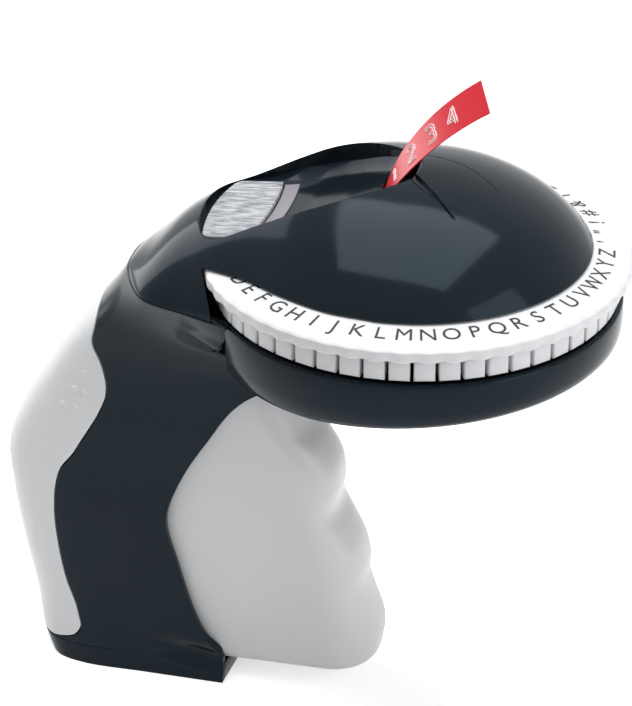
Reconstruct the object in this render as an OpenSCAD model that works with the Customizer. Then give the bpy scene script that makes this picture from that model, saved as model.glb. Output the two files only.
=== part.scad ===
// Hand-held embossing label maker: a pistol handle with a squeeze trigger and a rear tape door,
// and a head that carries a turning letter dial over a wheel of punch fingers.
// X runs forward to the head, Y across it, Z up. The origin is on the floor under the base.

/* [Head] */
// Distance from the base centre to the wheel's axis
wheel_x = 72; // [70:1:75]
// Height of the underside of the punch blocks
wheel_z = 113.5; // [112:0.5:116]
// Outer radius of the letter dial
dial_r = 53; // [52:0.5:56]
// Outer radius of the punch blocks
punch_r = 50; // [49:0.5:50.5]
// Number of letters, dies and punches round the wheel
letter_n = 52; // [40:2:60]
// Radius of the domed cover's edge
dome_r = 41; // [40:0.5:42]
// Height of the dome's top above the punch blocks' underside
dome_rise = 30.8; // [29:0.2:33]
// Outer radius of the tray under the wheel
tray_r = 51; // [50.8:0.1:53]

/* [Handle] */
// Width of the base
base_w = 34; // [32:1:38]
// Wall of the moulded shells
wall = 2.2; // [1.8:0.1:2.6]
// Width of the trigger where it slides into the handle
trigger_w = 26.4; // [24:0.2:27]
// Travel of the trigger in degrees
trigger_swing = 12; // [8:1:13]
// Opening of the tape door in degrees
door_swing = 70; // [40:5:70]

/* [Tape] */
// Width of the embossing tape
tape_w = 9; // [6:0.5:9.5]
// Thickness of the tape with its backing
tape_t = 0.3; // [0.2:0.05:0.4]
// Outer radius of the wound tape
roll_r = 19; // [15:0.5:20]
// Radius of the feed roller
feed_r = 5; // [4.5:0.1:5.3]
// Free length of label beyond the exit slot
label_free = 34; // [20:1:60]

/* [Hidden] */
$fn = 64;
black = [0.14, 0.15, 0.16];
white = [0.86, 0.86, 0.87];
steel = [0.66, 0.67, 0.69];
nylon = [0.80, 0.79, 0.74];
tape_red = [0.86, 0.18, 0.22];
fit = 0.05;              // radial clearance of a shaft in its hole
gap = 0.3;               // clearance between pieces that pass each other
e = 0.01;                // overlap that makes a cut clean

// Heights in the head
seam_z = wheel_z - 0.7;          // joint between the handle halves and the cover
block_h = 5.6;                   // height of a punch block
tray_z = wheel_z - 10.7;         // underside of the tray
tray_floor = 2;
tape_z = wheel_z + block_h + 0.35;   // underside of the tape between the wheels
die_z = tape_z + tape_t + gap;       // underside of the die ring
band_z = die_z;                  // lower edge of the dial's outer band
dial_edge_z = wheel_z + 9.5;     // outer top corner of the dial
dial_top_z = wheel_z + 11.8;     // inner top edge of the letter cone
dome_top_z = wheel_z + dome_rise;
dome_edge_z = dial_top_z + 0.5;
dome_rise_edge = dome_top_z - dome_edge_z;
dome_sphere_r = (dome_r * dome_r + dome_rise_edge * dome_rise_edge) / (2 * dome_rise_edge);

// Wheel work
pitch_r = 42;                    // pitch radius of both ring gears
sync_m = 1;                      // module of the gears that keep the wheels in step
ring_teeth = 84;
sync_teeth = 12;
sync_x = wheel_x + pitch_r - sync_m * sync_teeth / 2;
dial_bore_r = 38;
cup_r = 44.5;                    // radius where the punch blocks start
cup_floor_z = tray_z + 3.8;      // underside of the punch wheel's disc
cup_t = 1.5;
axle_r = 5;
station_x = wheel_x - 47.5;      // centre of the embossing station
blade_x = wheel_x - 39.5;

// Trigger work
pivot = [34, 88];                // trigger pin, x and z
nose = [station_x - pivot[0], 6];    // lever nose, measured from the pin
nose_r = 2;
rivet = [37, 62];                // rivet that holds the lever in the trigger
rivet_r = 1.2;
feed_m = 0.8;
feed_teeth = 10;
sector_teeth = 38;
feed_c = [pivot[0] - 16.5, pivot[1] + sqrt(pow(feed_m * (feed_teeth + sector_teeth) / 2, 2) - 16.5 * 16.5)];
hammer_lift = nose[1] * (cos(trigger_swing) - 1) - nose[0] * sin(trigger_swing);
hammer_top = wheel_z - gap - hammer_lift;
hammer_w = 4;
cheek_y = 8;                     // inner face of the cheek plates
cheek_t = 1.5;
inner_w = trigger_w / 2 + 0.6;   // half width of the handle's cavity
pin_r = 2;
roll_c = [-11, 42];              // centre of the tape roll
door_c = [-26, 8.2];             // door pin
door_low = 4.4;                  // height of the base under the door
screw_at = [[-3, 8], [-0.5, 73], [-1, 101]];
screw_r = 1.25;
bend_r = 33.7;                   // radius of the tape's bend up to the exit
bend_x = wheel_x - 38;           // where that bend starts
tape_x = feed_c[0] - feed_r - 0.2 - tape_t;  // rear face of the tape beside the feed roller
turn_r = 8;                      // radius of the tape's turn over the guide

// ---- helpers ----
module along_y(w, y = 0) translate([0, y + w / 2, 0]) rotate([90, 0, 0]) linear_extrude(w) children();
module along_x(x0, x1) translate([x0, 0, 0]) rotate([90, 0, 90]) linear_extrude(x1 - x0) children();
module rod(c, r, y0, y1) translate([c[0], y1, c[1]]) rotate([90, 0, 0]) cylinder(r = r, h = y1 - y0);
module at_wheel(z) translate([wheel_x, 0, z]) children();
module tube(r1, r2, h) difference() {
    cylinder(r = r2, h = h);
    translate([0, 0, -1]) cylinder(r = r1, h = h + 2);
}
module soften(r) offset(r) offset(-2 * r) offset(r) children();
// Points of a gear outline with straight-sided teeth
function gear_points(n, r_in, r_out, w_in, w_out) = [for (i = [0:n - 1], k = [0:3])
    let (r = k == 0 || k == 3 ? r_in : r_out, w = k == 0 || k == 3 ? w_in : w_out,
         a = 360 / n * i + (k < 2 ? -1 : 1) * w / r * 90 / PI)
    [r * cos(a), r * sin(a)]];
module gear_2d(n, m) let (r = n * m / 2)
    polygon(gear_points(n, r - 0.85 * m, r + 0.6 * m, 1.85 * m, 0.62 * m));
module gear_space_2d(n, m) let (r = n * m / 2)
    polygon(gear_points(n, r - 0.55 * m, r + 0.9 * m, 2.25 * m, 1.15 * m));
// A strip of rectangular section swept along rings of centre points with a turn about the path
function strip_faces(n) = concat([[0, 1, 2, 3]],
    [for (i = [0:n - 2], k = [0:3]) let (b = 4 * i, c = (k + 1) % 4)
        [b + k, b + 4 + k, b + 4 + c, b + c]],
    [[4 * n - 1, 4 * n - 2, 4 * n - 3, 4 * n - 4]]);

// ---- outlines ----
module body_side_2d() soften(2) polygon([[-25, 0], [-28.5, 4], [-31.5, 16], [-34.4, 32],
    [-34.4, 44], [-32.3, 56], [-27.2, 69], [-20, 81], [-12, 93], [-6, 103], [-1.5, seam_z],
    [-1.5, 130], [60, 130], [60, tray_z], [56, tray_z], [49, 98], [44.8, 91], [42.8, 84.2], [31.7, 82.8],
    [21.7, 69],
    [12.2, 53], [11, 46], [14.6, 32.6], [18.4, 22.8], [22.3, 11.3], [26, 6], [26, 0]]);
module flare_2d(inset = 0) offset(delta = -inset) polygon([for (s = [1, -1])
    for (p = s > 0 ? [[base_w / 2, 0], [base_w / 2 - 1, 12], [16, 40], [15.8, 80], [17, 90], [20, 97],
        [26, 104], [31, 110], [33, seam_z], [33, 130]] : [[33, 130], [33, seam_z], [31, 110], [26, 104],
        [20, 97], [17, 90], [15.8, 80], [16, 40], [base_w / 2 - 1, 12], [base_w / 2, 0]])
    [s * p[0], p[1]]]);
module plan_2d(inset = 0) offset(delta = -inset) soften(4) union() {
    polygon([[-40, -12], [-31, -base_w / 2], [4, -18], [9.7, -24.4], [17, -27.5], [31, -33], [60, -33],
        [60, 33], [31, 33], [17, 27.5], [9.7, 24.4], [4, 18], [-31, base_w / 2], [-40, 12]]);
}
module door_region_2d() soften(2) polygon([[-60, door_low], [-17, door_low], [-12.3, 11.7], [-16.5, 26.2],
    [-18.4, 40], [-17, 55.9], [-12.7, 62.4], [-7.2, 71.9], [-4, 80], [-5.4, 89.4], [-8.4, 97],
    [-6.5, 108.5], [-60, 108.5]]);
module trigger_gap_2d() polygon([[80, 3.2], [-6, 3.2], [2, 30], [6, 60], [22, 82], [31, 99], [80, 99]]);
module trigger_side_2d(inset = 0) offset(delta = -inset) soften(1.5) polygon([[28, 81], [40.5, 81],
    [43.9, 71.7], [51.5, 66.5], [54.6, 56], [53.4, 48.4], [58.5, 42], [61.4, 33.3], [60.6, 27.3],
    [64.2, 19], [65.2, 11], [62, 5], [27, 5], [22, 6.5], [18, 16], [13, 30], [8.5, 42], [8, 50],
    [14, 63], [20, 72]]);

// ---- body of handle, neck and tray ----
module skin(inset) intersection() {
    along_y(90) offset(delta = -inset) body_side_2d();
    along_x(-60, 62) flare_2d(inset);
    translate([0, 0, -5]) linear_extrude(seam_z + 5) plan_2d(inset);
}
module tray_outer() at_wheel(0) rotate_extrude() polygon([[0, tray_z], [tray_r - 4, tray_z],
    [tray_r - 1.2, tray_z + 1.2], [tray_r, tray_z + 4], [tray_r, seam_z], [0, seam_z]]);
module tray_inner() at_wheel(tray_z + tray_floor) cylinder(r = tray_r - 2, h = 20);
module neck_opening() intersection() {
    along_y(2 * inner_w) polygon([[-30, 60], [-30, 130], [40, 130], [40, 96], [34, 60]]);
    skin(wall);
}
module body_bosses() {
    for (p = screw_at) rod(p, 3, -inner_w - 0.5, inner_w + 0.5);
    for (s = [-1, 1]) {
        along_y(inner_w + 0.5 - cheek_y - cheek_t, s * (inner_w + 0.5 + cheek_y + cheek_t) / 2)
            translate(pivot) circle(4.5);
        along_y(2.5, s * 11.2) hull() {
            translate(door_c) circle(2.2);
            translate([-19, 1.2]) square([4, 5]);
        }
    }
    at_wheel(tray_z) cylinder(r = 9, h = cup_floor_z - tray_z - gap);
    rod(roll_c, 6.5, -inner_w - 0.5, -inner_w + 2.5);
}
module handle_body() difference() {
    union() {
        difference() {
            union() {
                skin(0);
                tray_outer();
            }
            skin_cavity();
            tray_inner();
            neck_opening();
            along_y(80) door_region_2d();
        }
        body_bosses();
    }
    for (p = screw_at) rod(p, screw_r, -30, 30);
    rod(pivot, pin_r, -13, 13);
    rod(door_c, 1.5, -12.6, 12.6);
    at_wheel(tray_z - 1) cylinder(r = axle_r - 2, h = 20);
    rod(roll_c, 3, -inner_w - 1.5, 0);
    for (p = screw_at, s = [-1, 1]) rod(p, 2.6, s > 0 ? 14.6 : -30, s > 0 ? 30 : -14.6);
    translate([-40, -9.6, door_low]) cube([17.5, 19.2, 7]);
}
module skin_cavity() intersection() {
    union() {
        along_y(2 * inner_w) offset(delta = -wall) body_side_2d();
        along_y(2 * inner_w) intersection() {
            trigger_gap_2d();
            translate([-40, 3.2]) square([81, 84]);
        }
    }
    translate([-60, -40, 3.2]) cube([140, 80, 200]);
}
module half(s) intersection() {
    handle_body();
    translate([-60, s > 0 ? 0 : -80, -1]) cube([220, 80, 200]);
}
module handle_left() color(black) half(1);
module handle_right() color(black) half(-1);

// ---- cover ----
module cover_side_2d() polygon([[-1.5, seam_z], [5, 118], [12, 125.2], [20, 131.2], [30, 136.6],
    [40, 140.6], [50, 143.2], [60, 144.2], [wheel_x, dome_top_z], [wheel_x, seam_z]]);
module cover_plan_2d() union() {
    translate([wheel_x, 0]) circle(dome_r);
    intersection() {
        plan_2d();
        translate([-40, -40]) square([67, 80]);
    }
    polygon([[26, -22], [46, -31.8], [46, 31.8], [26, 22]]);
}
module cover_solid(inset) union() {
    intersection() {
        at_wheel(dome_top_z - dome_sphere_r) sphere(r = dome_sphere_r - inset);
        at_wheel(dome_edge_z - (inset > 0 ? 1 : 0)) cylinder(r = dome_r - inset, h = 40);
    }
    intersection() {
        along_y(90) offset(delta = -inset) cover_side_2d();
        along_x(-10, 66) translate([0, seam_z - 5.6]) circle(34 - inset);
        translate([0, 0, seam_z - (inset > 0 ? 1 : 0)]) linear_extrude(60) offset(delta = -inset) cover_plan_2d();
    }
}
// Teardrop hollow that runs from the window to the exit slot
module scoop_plan_2d(grow = 0) offset(r = grow) hull() {
    translate([33, 0]) circle(12);
    translate([wheel_x - 5, 0.5]) circle(5.6);
}
module scoop_side_2d(drop = 0) translate([0, -drop]) polygon([[10, 126.6], [24, 127.6], [36, 130.6],
    [52, 136], [62, 139.8], [70, 142.4], [70, 160], [10, 160]]);
module cover_clear() union() {
    // room over the turning dial, open to the front
    at_wheel(0) rotate_extrude() polygon([[0, seam_z - 1], [dial_r + 0.6, seam_z - 1],
        [dial_r + 0.6, dial_edge_z + 0.5], [dome_r - 1, dial_top_z + 0.5], [0, dial_top_z + 0.5]]);
    at_wheel(seam_z) cylinder(r1 = dial_r + 14.2, r2 = dome_r - 0.2, h = dome_edge_z - seam_z + e);
}
module top_cover() color(black) difference() {
    union() {
        difference() {
            cover_solid(0);
            cover_solid(wall - 0.2);
            cover_clear();
            along_y(26) translate([blade_x - 14, seam_z - 1]) square([14, 11]);
        }
        intersection() {
            cover_solid(0);
            translate([0, 0, 100]) linear_extrude(60) scoop_plan_2d(2);
            along_y(60) scoop_side_2d(1.8);
        }
        // skirt that the dial turns on, and the bosses inside the dome
        intersection() {
            at_wheel(dial_edge_z - 0.1) tube(dial_bore_r - 2.2, dial_bore_r - fit, 40);
            cover_solid(0.2);
        }
        intersection() {
            union() {
                at_wheel(tape_z + 2) cylinder(r = 4.4, h = 40);
                translate([sync_x, 0, wheel_z + 9.6]) cylinder(r = 4, h = 40);
            }
            at_wheel(100) cylinder(r = dial_bore_r - fit, h = 60);
            cover_solid(0.2);
        }
    }
    intersection() {
        translate([0, 0, 100]) linear_extrude(60) scoop_plan_2d();
        along_y(60) scoop_side_2d();
    }
    // window over the letters, and the exit slot
    translate([22, -9.5, 110]) cube([11.5, 19, 60]);
    translate([wheel_x - 9.4, -6, dome_top_z - 9]) cube([7.6, 12, 30]);
    at_wheel(0) cylinder(r = 1.6, h = dome_top_z - 6);
    translate([sync_x, 0, wheel_z]) cylinder(r = 1.5, h = 15.2);
    at_wheel(dial_edge_z - 0.2) for (a = [60, 180, 300]) rotate(a + 30) translate([dial_bore_r - 1.3, 0, -1])
        cylinder(r = 0.6, h = 8);
}
module window_lens() color([0.85, 0.88, 0.92, 0.5]) intersection() {
    translate([21.2, -11.2, 120]) cube([14.6, 22.4, 20]);
    along_y(60) polygon([[20, 127.32], [24, 127.6], [36, 130.6], [36, 132], [24, 129], [20, 128.72]]);
    translate([0, 0, 100]) linear_extrude(60) scoop_plan_2d(-gap / 2);
}
module dial_retainer() color(nylon) difference() {
    at_wheel(dial_edge_z - 1.5) tube(dial_bore_r - 4.5, dial_bore_r + 2, 1.4);
    translate([sync_x, 0, 100]) cylinder(r = 7.6, h = 40);
    at_wheel(dial_edge_z - 3) for (a = [60, 180, 300]) rotate(a + 30) translate([dial_bore_r - 1.3, 0, 0])
        cylinder(r = 0.8, h = 8);
}
module retainer_screws() color(steel) at_wheel(dial_edge_z - 1.5) for (a = [60, 180, 300])
    rotate(a + 30) translate([dial_bore_r - 1.3, 0, 0]) {
        translate([0, 0, -0.8]) cylinder(r = 1.5, h = 0.8);
        cylinder(r = 0.6, h = 6);
    }

// ---- press frame and fixed works ----
module cheek_2d() difference() {
    polygon([[2.6, 95], [2.6, 106.6], [9, 114], [15, 121.4], [18.4, 125.3], [21.4, 125.3],
        [21.4, dial_edge_z + 0.8], [19.3, dial_edge_z + 0.5], [19.3, 106.2], [29.5, 106.2], [29.5, 102],
        [41, 96], [40, 85], [37, 81], [30, 81], [22, 88], [8, 90]]);
    translate(pivot) circle(pin_r);
    translate(feed_c) circle(1.5);
    translate([feed_c[0] - feed_r - 3.7 - tape_t, feed_c[1]]) circle(1);
}
module cheek(s) color(steel) along_y(cheek_t, s * (cheek_y + cheek_t / 2)) cheek_2d();
module cheek_left() cheek(1);
module cheek_right() cheek(-1);
module hammer_guide() color(nylon) difference() {
    along_y(2 * cheek_y) translate([20.6, 103.6]) square([8.8, 2.4]);
    translate([station_x - hammer_w / 2 - fit, -3 - fit, 99]) cube([hammer_w + 2 * fit, 6 + 2 * fit, 12]);
}
module tape_guide() color(nylon) {
    c = [tape_x + tape_t + turn_r, tape_z - turn_r];
    along_y(2 * cheek_y) difference() {
        union() {
            intersection() {
                translate(c) circle(turn_r - 0.2);
                translate([c[0] - 20, c[1]]) square([20, 20]);
            }
            translate([tape_x + tape_t + 0.2, 108.6]) square([turn_r - 0.2, c[1] - 108.6 + e]);
        }
        translate([c[0] - 0.6, c[1] + 2]) square([5, 20]);
    }
}
// A point on the tape's bend, at radius r and a degrees round from its start
function on_bend(r, a) = [bend_x + r * sin(a), tape_z + bend_r - r * cos(a)];
module bend_2d(r1, r2, a1, a2, n = 10) polygon(concat(
    [for (i = [0:n]) on_bend(r2, a1 + (a2 - a1) * i / n)], [for (i = [0:n]) on_bend(r1, a2 - (a2 - a1) * i / n)]));
module exit_chute() color(nylon) difference() {
    union() {
        along_y(tape_w + 3) bend_2d(bend_r + gap, bend_r + 1.4, 0, 59);
        along_y(tape_w + 3) translate([blade_x - 3.7, tape_z - 1.4]) square([bend_x - blade_x + 4, 1.1]);
        for (s = [-1, 1]) along_y(1.2, s * (tape_w / 2 + 0.9)) bend_2d(bend_r - 1.5, bend_r + 0.8, 20, 56);
    }
    translate([blade_x - 0.5, -5.2, 110]) cube([1, 10.4, 20]);
}
module wheel_axle() color(steel) difference() {
    union() {
        at_wheel(cup_floor_z - gap) cylinder(r = axle_r, h = tape_z + 2 - cup_floor_z + gap);
        at_wheel(cup_floor_z + 5.9) cylinder(r = axle_r + 2.5, h = 1);
    }
    at_wheel(90) cylinder(r = 1.6, h = 60);
}
module centre_bolt() color(steel) at_wheel(0) {
    translate([0, 0, tray_z - 1.6]) cylinder(r = 5, h = 1.6);
    translate([0, 0, tray_z - e]) cylinder(r = 1.55, h = dome_top_z - 7 - tray_z);
}
module pinion_axle() color(steel) translate([sync_x, 0, 0]) {
    translate([0, 0, cup_floor_z + cup_t + 0.4]) cylinder(r = 2.6, h = 1);
    translate([0, 0, cup_floor_z + cup_t + 1]) cylinder(r = 1.5, h = wheel_z + 15 - cup_floor_z - cup_t - 1);
}
module trigger_pin() color(steel) rod(pivot, pin_r, -12.8, 12.8);
module feed_axle() color(steel) rod(feed_c, 1.5, -cheek_y - cheek_t, cheek_y + cheek_t);
module pinch_axle() color(steel)
    rod([feed_c[0] - feed_r - 3.7 - tape_t, feed_c[1]], 1, -cheek_y - cheek_t, cheek_y + cheek_t);
module roll_spindle() color(nylon) {
    rod(roll_c, 3, -inner_w - 1.4, -8);
    rod(roll_c, 5, -9.5, -7);
    rod(roll_c, 4.2, -7, 7.6);
}
module door_pin() color(steel) rod(door_c, 1.5, -12.5, 12.5);
module handle_screws() color(steel) {
    for (p = screw_at) {
        rod(p, screw_r, -14.6, 8);
        rod(p, 2.4, -16, -14.59);
    }
}
module detent_spring() color(steel) at_wheel(tray_z + tray_floor) rotate(28) along_y(4) {
    translate([32, 0]) square([14.6, 0.5]);
    translate([46.1, 0]) square([0.5, wheel_z - gap - tray_z - tray_floor]);
}

// ---- tape ----
bend_end = 64;           // slope of the label as it leaves the slot
label_curl = 30;         // how far it leans over by its tip
label_turn = 48;         // how far its face has turned aside by its tip
// Centre line of the label: a bend up to the exit, then a slow curl forward
function label_point(t) = t < 1
    ? [bend_x + bend_r * sin(bend_end * t), tape_z + bend_r * (1 - cos(bend_end * t))]
    : let (s = (t - 1) * label_free)
      [bend_x + bend_r * sin(bend_end) + s * cos(bend_end - label_curl * (t - 1) / 2),
       tape_z + bend_r * (1 - cos(bend_end)) + s * sin(bend_end - label_curl * (t - 1) / 2)];
function label_dir(t) = t < 1 ? bend_end * t : bend_end - label_curl * (t - 1);
function label_ring(t) = let (p = label_point(t), a = label_dir(t), w = label_turn * pow(max(0, t - 0.93) / 1.07, 0.6))
    [for (q = [[-1, 0], [1, 0], [1, 1], [-1, 1]]) let (u = q[0] * tape_w / 2, v = q[1] * tape_t)
        [p[0] - (v * cos(w) + u * sin(w)) * sin(a), u * cos(w) - v * sin(w), p[1] + (v * cos(w) + u * sin(w)) * cos(a)]];
module label_strip() color(tape_red) union() {
    rings = concat([[for (q = [[-1, 0], [1, 0], [1, 1], [-1, 1]])
        [blade_x + 0.5, q[0] * tape_w / 2, tape_z + q[1] * tape_t]]],
        [for (i = [0:24]) label_ring(i / 12)]);
    polyhedron([for (r = rings, p = r) p], strip_faces(len(rings)));
}
module supply_tape() color(tape_red) {
    c = [tape_x + tape_t + turn_r, tape_z - turn_r];
    low_z = roll_c[1];
    along_y(tape_w) {
        intersection() {
            difference() {
                translate(c) circle(turn_r + tape_t);
                translate(c) circle(turn_r);
            }
            translate([c[0] - 20, c[1]]) square([20, 20]);
        }
        translate([c[0] - e, tape_z]) square([blade_x - 0.5 - c[0] + e, tape_t]);
        translate([tape_x, feed_c[1] - 6]) square([tape_t, c[1] - feed_c[1] + 6 + e]);
        polygon([[tape_x, feed_c[1] - 6 + e], [tape_x + tape_t, feed_c[1] - 6 + e],
            [roll_c[0] + roll_r + 0.2 + tape_t, low_z], [roll_c[0] + roll_r + 0.2, low_z]]);
    }
}
module tape_roll() color(tape_red) along_y(tape_w) translate(roll_c) difference() {
    circle(roll_r);
    circle(8.5);
}
module roll_spool() color(nylon) difference() {
    union() {
        rod(roll_c, 8.5, -tape_w / 2, tape_w / 2);
        rod(roll_c, 12, -tape_w / 2 - 1, -tape_w / 2);
        rod(roll_c, 12, tape_w / 2, tape_w / 2 + 1);
    }
    rod(roll_c, 4.2 + fit, -20, 20);
}

// ---- turning pieces in the head ----
module letter_dial() color(white) difference() {
    at_wheel(0) rotate_extrude() polygon([[dial_bore_r, dial_edge_z + 0.2], [dial_bore_r + 2.6, dial_edge_z + 0.2],
        [dial_bore_r + 2.6, die_z + 1.2], [punch_r + 0.4, die_z + 1.2], [punch_r + 0.6, band_z],
        [dial_r - 0.5, band_z], [dial_r, band_z + 0.5], [dial_r, dial_edge_z - 0.6],
        [dial_r - 0.6, dial_edge_z], [dome_r - 1, dial_top_z], [dial_bore_r, dial_top_z]]);
    at_wheel(die_z) linear_extrude(dial_edge_z - die_z + 0.2) gear_space_2d(ring_teeth, sync_m);
}
module die_ring() color(nylon) at_wheel(die_z) {
    linear_extrude(1.2) difference() {
        circle(punch_r);
        circle(cup_r);
        for (i = [0:letter_n - 1]) rotate(360 / letter_n * (i + 0.5)) translate([47, -0.5]) square([4, 1]);
    }
}
module punch_wheel() color(white) at_wheel(0) difference() {
    union() {
        translate([0, 0, cup_floor_z]) cylinder(r = cup_r, h = cup_t);
        translate([0, 0, cup_floor_z]) tube(pitch_r - 2, cup_r, wheel_z + 2 - cup_floor_z);
        translate([0, 0, cup_floor_z]) cylinder(r = 9, h = 5.5);
        translate([0, 0, wheel_z]) linear_extrude(block_h) difference() {
            circle(punch_r);
            circle(cup_r - 0.6);
            for (i = [0:letter_n - 1]) rotate(360 / letter_n * (i + 0.5))
                translate([cup_r, -0.45]) square([8, 0.9]);
        }
    }
    translate([0, 0, cup_floor_z - 1]) cylinder(r = axle_r + fit, h = 20);
    translate([0, 0, cup_floor_z + cup_t]) linear_extrude(4.5) gear_space_2d(ring_teeth, sync_m);
    translate([0, 0, cup_floor_z + cup_t + 4.4]) cylinder(r = pitch_r + 1.2, h = 20);
}
module sync_pinion() color(nylon) translate([sync_x, 0, cup_floor_z + cup_t + 1.7]) difference() {
    linear_extrude(dial_edge_z - 0.4 - cup_floor_z - cup_t - 1.7)
        gear_2d(sync_teeth, sync_m);
    translate([0, 0, -1]) cylinder(r = 1.5 + fit, h = 40);
}

// ---- trigger, hammer and feed ----
module trigger_plan_2d(inset = 0) polygon([for (s = [-1, 1])
    for (p = s < 0 ? [[-20, 0], [34, 0], [70, 2.2]] : [[70, 2.2], [34, 0], [-20, 0]])
    [p[0], s * (trigger_w / 2 - p[1] - inset)]]);
module trigger() color(white) difference() {
    intersection() {
        along_y(trigger_w) trigger_side_2d();
        linear_extrude(100) trigger_plan_2d();
    }
    intersection() {
        along_y(trigger_w) offset(delta = -2.2) union() {
            trigger_side_2d();
            polygon([[-20, 0], [38, 4], [30, 90], [-20, 90]]);
            translate([10, 60]) square([31, 40]);
        }
        linear_extrude(100) trigger_plan_2d(2);
    }
    rod(rivet, rivet_r, -20, 20);
}
module lever_2d() union() {
    translate(pivot) circle(5);
    hull() {
        translate(pivot) circle(3);
        translate(pivot + nose) circle(nose_r);
    }
    hull() {
        translate(pivot) circle(3);
        translate(rivet) circle(3);
    }
}
module trigger_lever() color(steel) difference() {
    union() {
        along_y(5) lever_2d();
        rod(pivot, 5, -2.4, 7.6);
        along_y(2, 6.5) intersection() {
            translate(pivot) rotate(180 - atan2(feed_c[1] - pivot[1], 16.5)) gear_2d(sector_teeth, feed_m);
            translate(pivot) polygon([[0, 0], [-14, -18], [-30, 2], [-24, 24], [-16, 22]]);
        }
        rod(rivet, 3, -trigger_w / 2 + 2.4, trigger_w / 2 - 2.4);
    }
    rod(pivot, pin_r + fit, -20, 20);
    rod(rivet, rivet_r, -20, 20);
}
module lever_rivets() color(steel) rod(rivet, rivet_r, -trigger_w / 2 + 0.5, trigger_w / 2 - 0.5);
module hammer() color(steel) union() {
    translate([station_x - hammer_w / 2, -3, pivot[1] + nose[1] + nose_r + gap])
        cube([hammer_w, 6, hammer_top - pivot[1] - nose[1] - nose_r - gap]);
}
module feed_roller() color([0.2, 0.2, 0.2]) difference() {
    rod(feed_c, feed_r, -tape_w / 2, tape_w / 2);
    rod(feed_c, 1.5 + fit, -20, 20);
}
module feed_pinion() color(nylon) difference() {
    along_y(3, 6.2) translate(feed_c)
        rotate(-atan2(feed_c[1] - pivot[1], 16.5) + 180 / feed_teeth) gear_2d(feed_teeth, feed_m);
    rod(feed_c, 1.5 + fit, -20, 20);
}
module pinch_roller() color(nylon) difference() {
    rod([feed_c[0] - feed_r - 3.7 - tape_t, feed_c[1]], 3, -tape_w / 2, tape_w / 2);
    rod([feed_c[0] - feed_r - 3.7 - tape_t, feed_c[1]], 1 + fit, -20, 20);
}
module cutter_blade() color(steel) translate([blade_x - 0.25, -5, cup_floor_z + cup_t + 4])
    cube([0.5, 10, tape_z - 0.3 - cup_floor_z - cup_t - 4]);

// ---- door ----
module tape_door() color(white) difference() {
    union() {
        intersection() {
            difference() {
                skin(0);
                along_y(2 * inner_w) offset(delta = -wall) body_side_2d();
            }
            along_y(80) difference() {
                offset(delta = -gap) door_region_2d();
                difference() {
                    translate(door_c - [10, 10]) square(10);
                    translate(door_c) circle(3.3);
                }
            }
        }
        rod(door_c, 2.2, -9.3, 9.3);
    }
    rod(door_c, 1.5 + fit, -20, 20);
    for (s = [-1, 1]) rod(door_c, 3.4, s > 0 ? 9.5 : -13.2, s > 0 ? 13.2 : -9.5);
}

// ---- springs ----
function coil(r, h, turns, n) = [for (i = [0:n]) let (a = 360 * turns * i / n) [r * cos(a), r * sin(a), h * i / n]];
module spring(r, wire, h, turns) {
    n = turns * 12;
    pts = coil(r, h - wire, turns, n);
    polyhedron([for (i = [0:n]) let (a = 360 * turns * i / n) for (k = [0:5])
        let (b = 60 * k) pts[i] + [wire / 2 * cos(b) * cos(a), wire / 2 * cos(b) * sin(a), wire / 2 * sin(b) + wire / 2]],
        concat([[5, 4, 3, 2, 1, 0]], [for (i = [0:n - 1], k = [0:5]) let (b = 6 * i, c = (k + 1) % 6)
            [b + k, b + c, b + 6 + c, b + 6 + k]], [[for (k = [0:5]) 6 * n + k]]));
}
// Torsion spring round the trigger pin: one leg on the cheek's edge, one on the lever
module trigger_spring() color(steel) translate([pivot[0], -2.9, pivot[1]]) rotate([90, 0, 0])
    spring(3.2, 0.8, 4.8, 5);
module cutter_spring() color(steel) translate([blade_x + 2.2, 0, cup_floor_z + cup_t + 4.4]) spring(1, 0.3, 5, 5);

handle_left();
handle_right();
top_cover();
window_lens();
dial_retainer();
cheek_left();
cheek_right();
hammer_guide();
tape_guide();
exit_chute();
wheel_axle();
centre_bolt();
pinion_axle();
trigger_pin();
feed_axle();
pinch_axle();
roll_spindle();
door_pin();
handle_screws();
retainer_screws();
detent_spring();
supply_tape();
label_strip();
letter_dial();
die_ring();
punch_wheel();
sync_pinion();
trigger();
trigger_lever();
lever_rivets();
hammer();
feed_roller();
feed_pinion();
pinch_roller();
tape_roll();
roll_spool();
cutter_blade();
tape_door();
trigger_spring();
cutter_spring();
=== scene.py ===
"""Looks of a hand-held embossing label maker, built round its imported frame.

Sizes are in millimetres with the origin on the floor under the base, X forward
to the dial head, Y across and Z up; meshes are written in metres.
"""

from __future__ import annotations

import logging
import math
from dataclasses import dataclass
from enum import Enum

import bmesh
import bpy
import numpy as np
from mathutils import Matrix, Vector
from numpy.typing import ArrayLike

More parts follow.
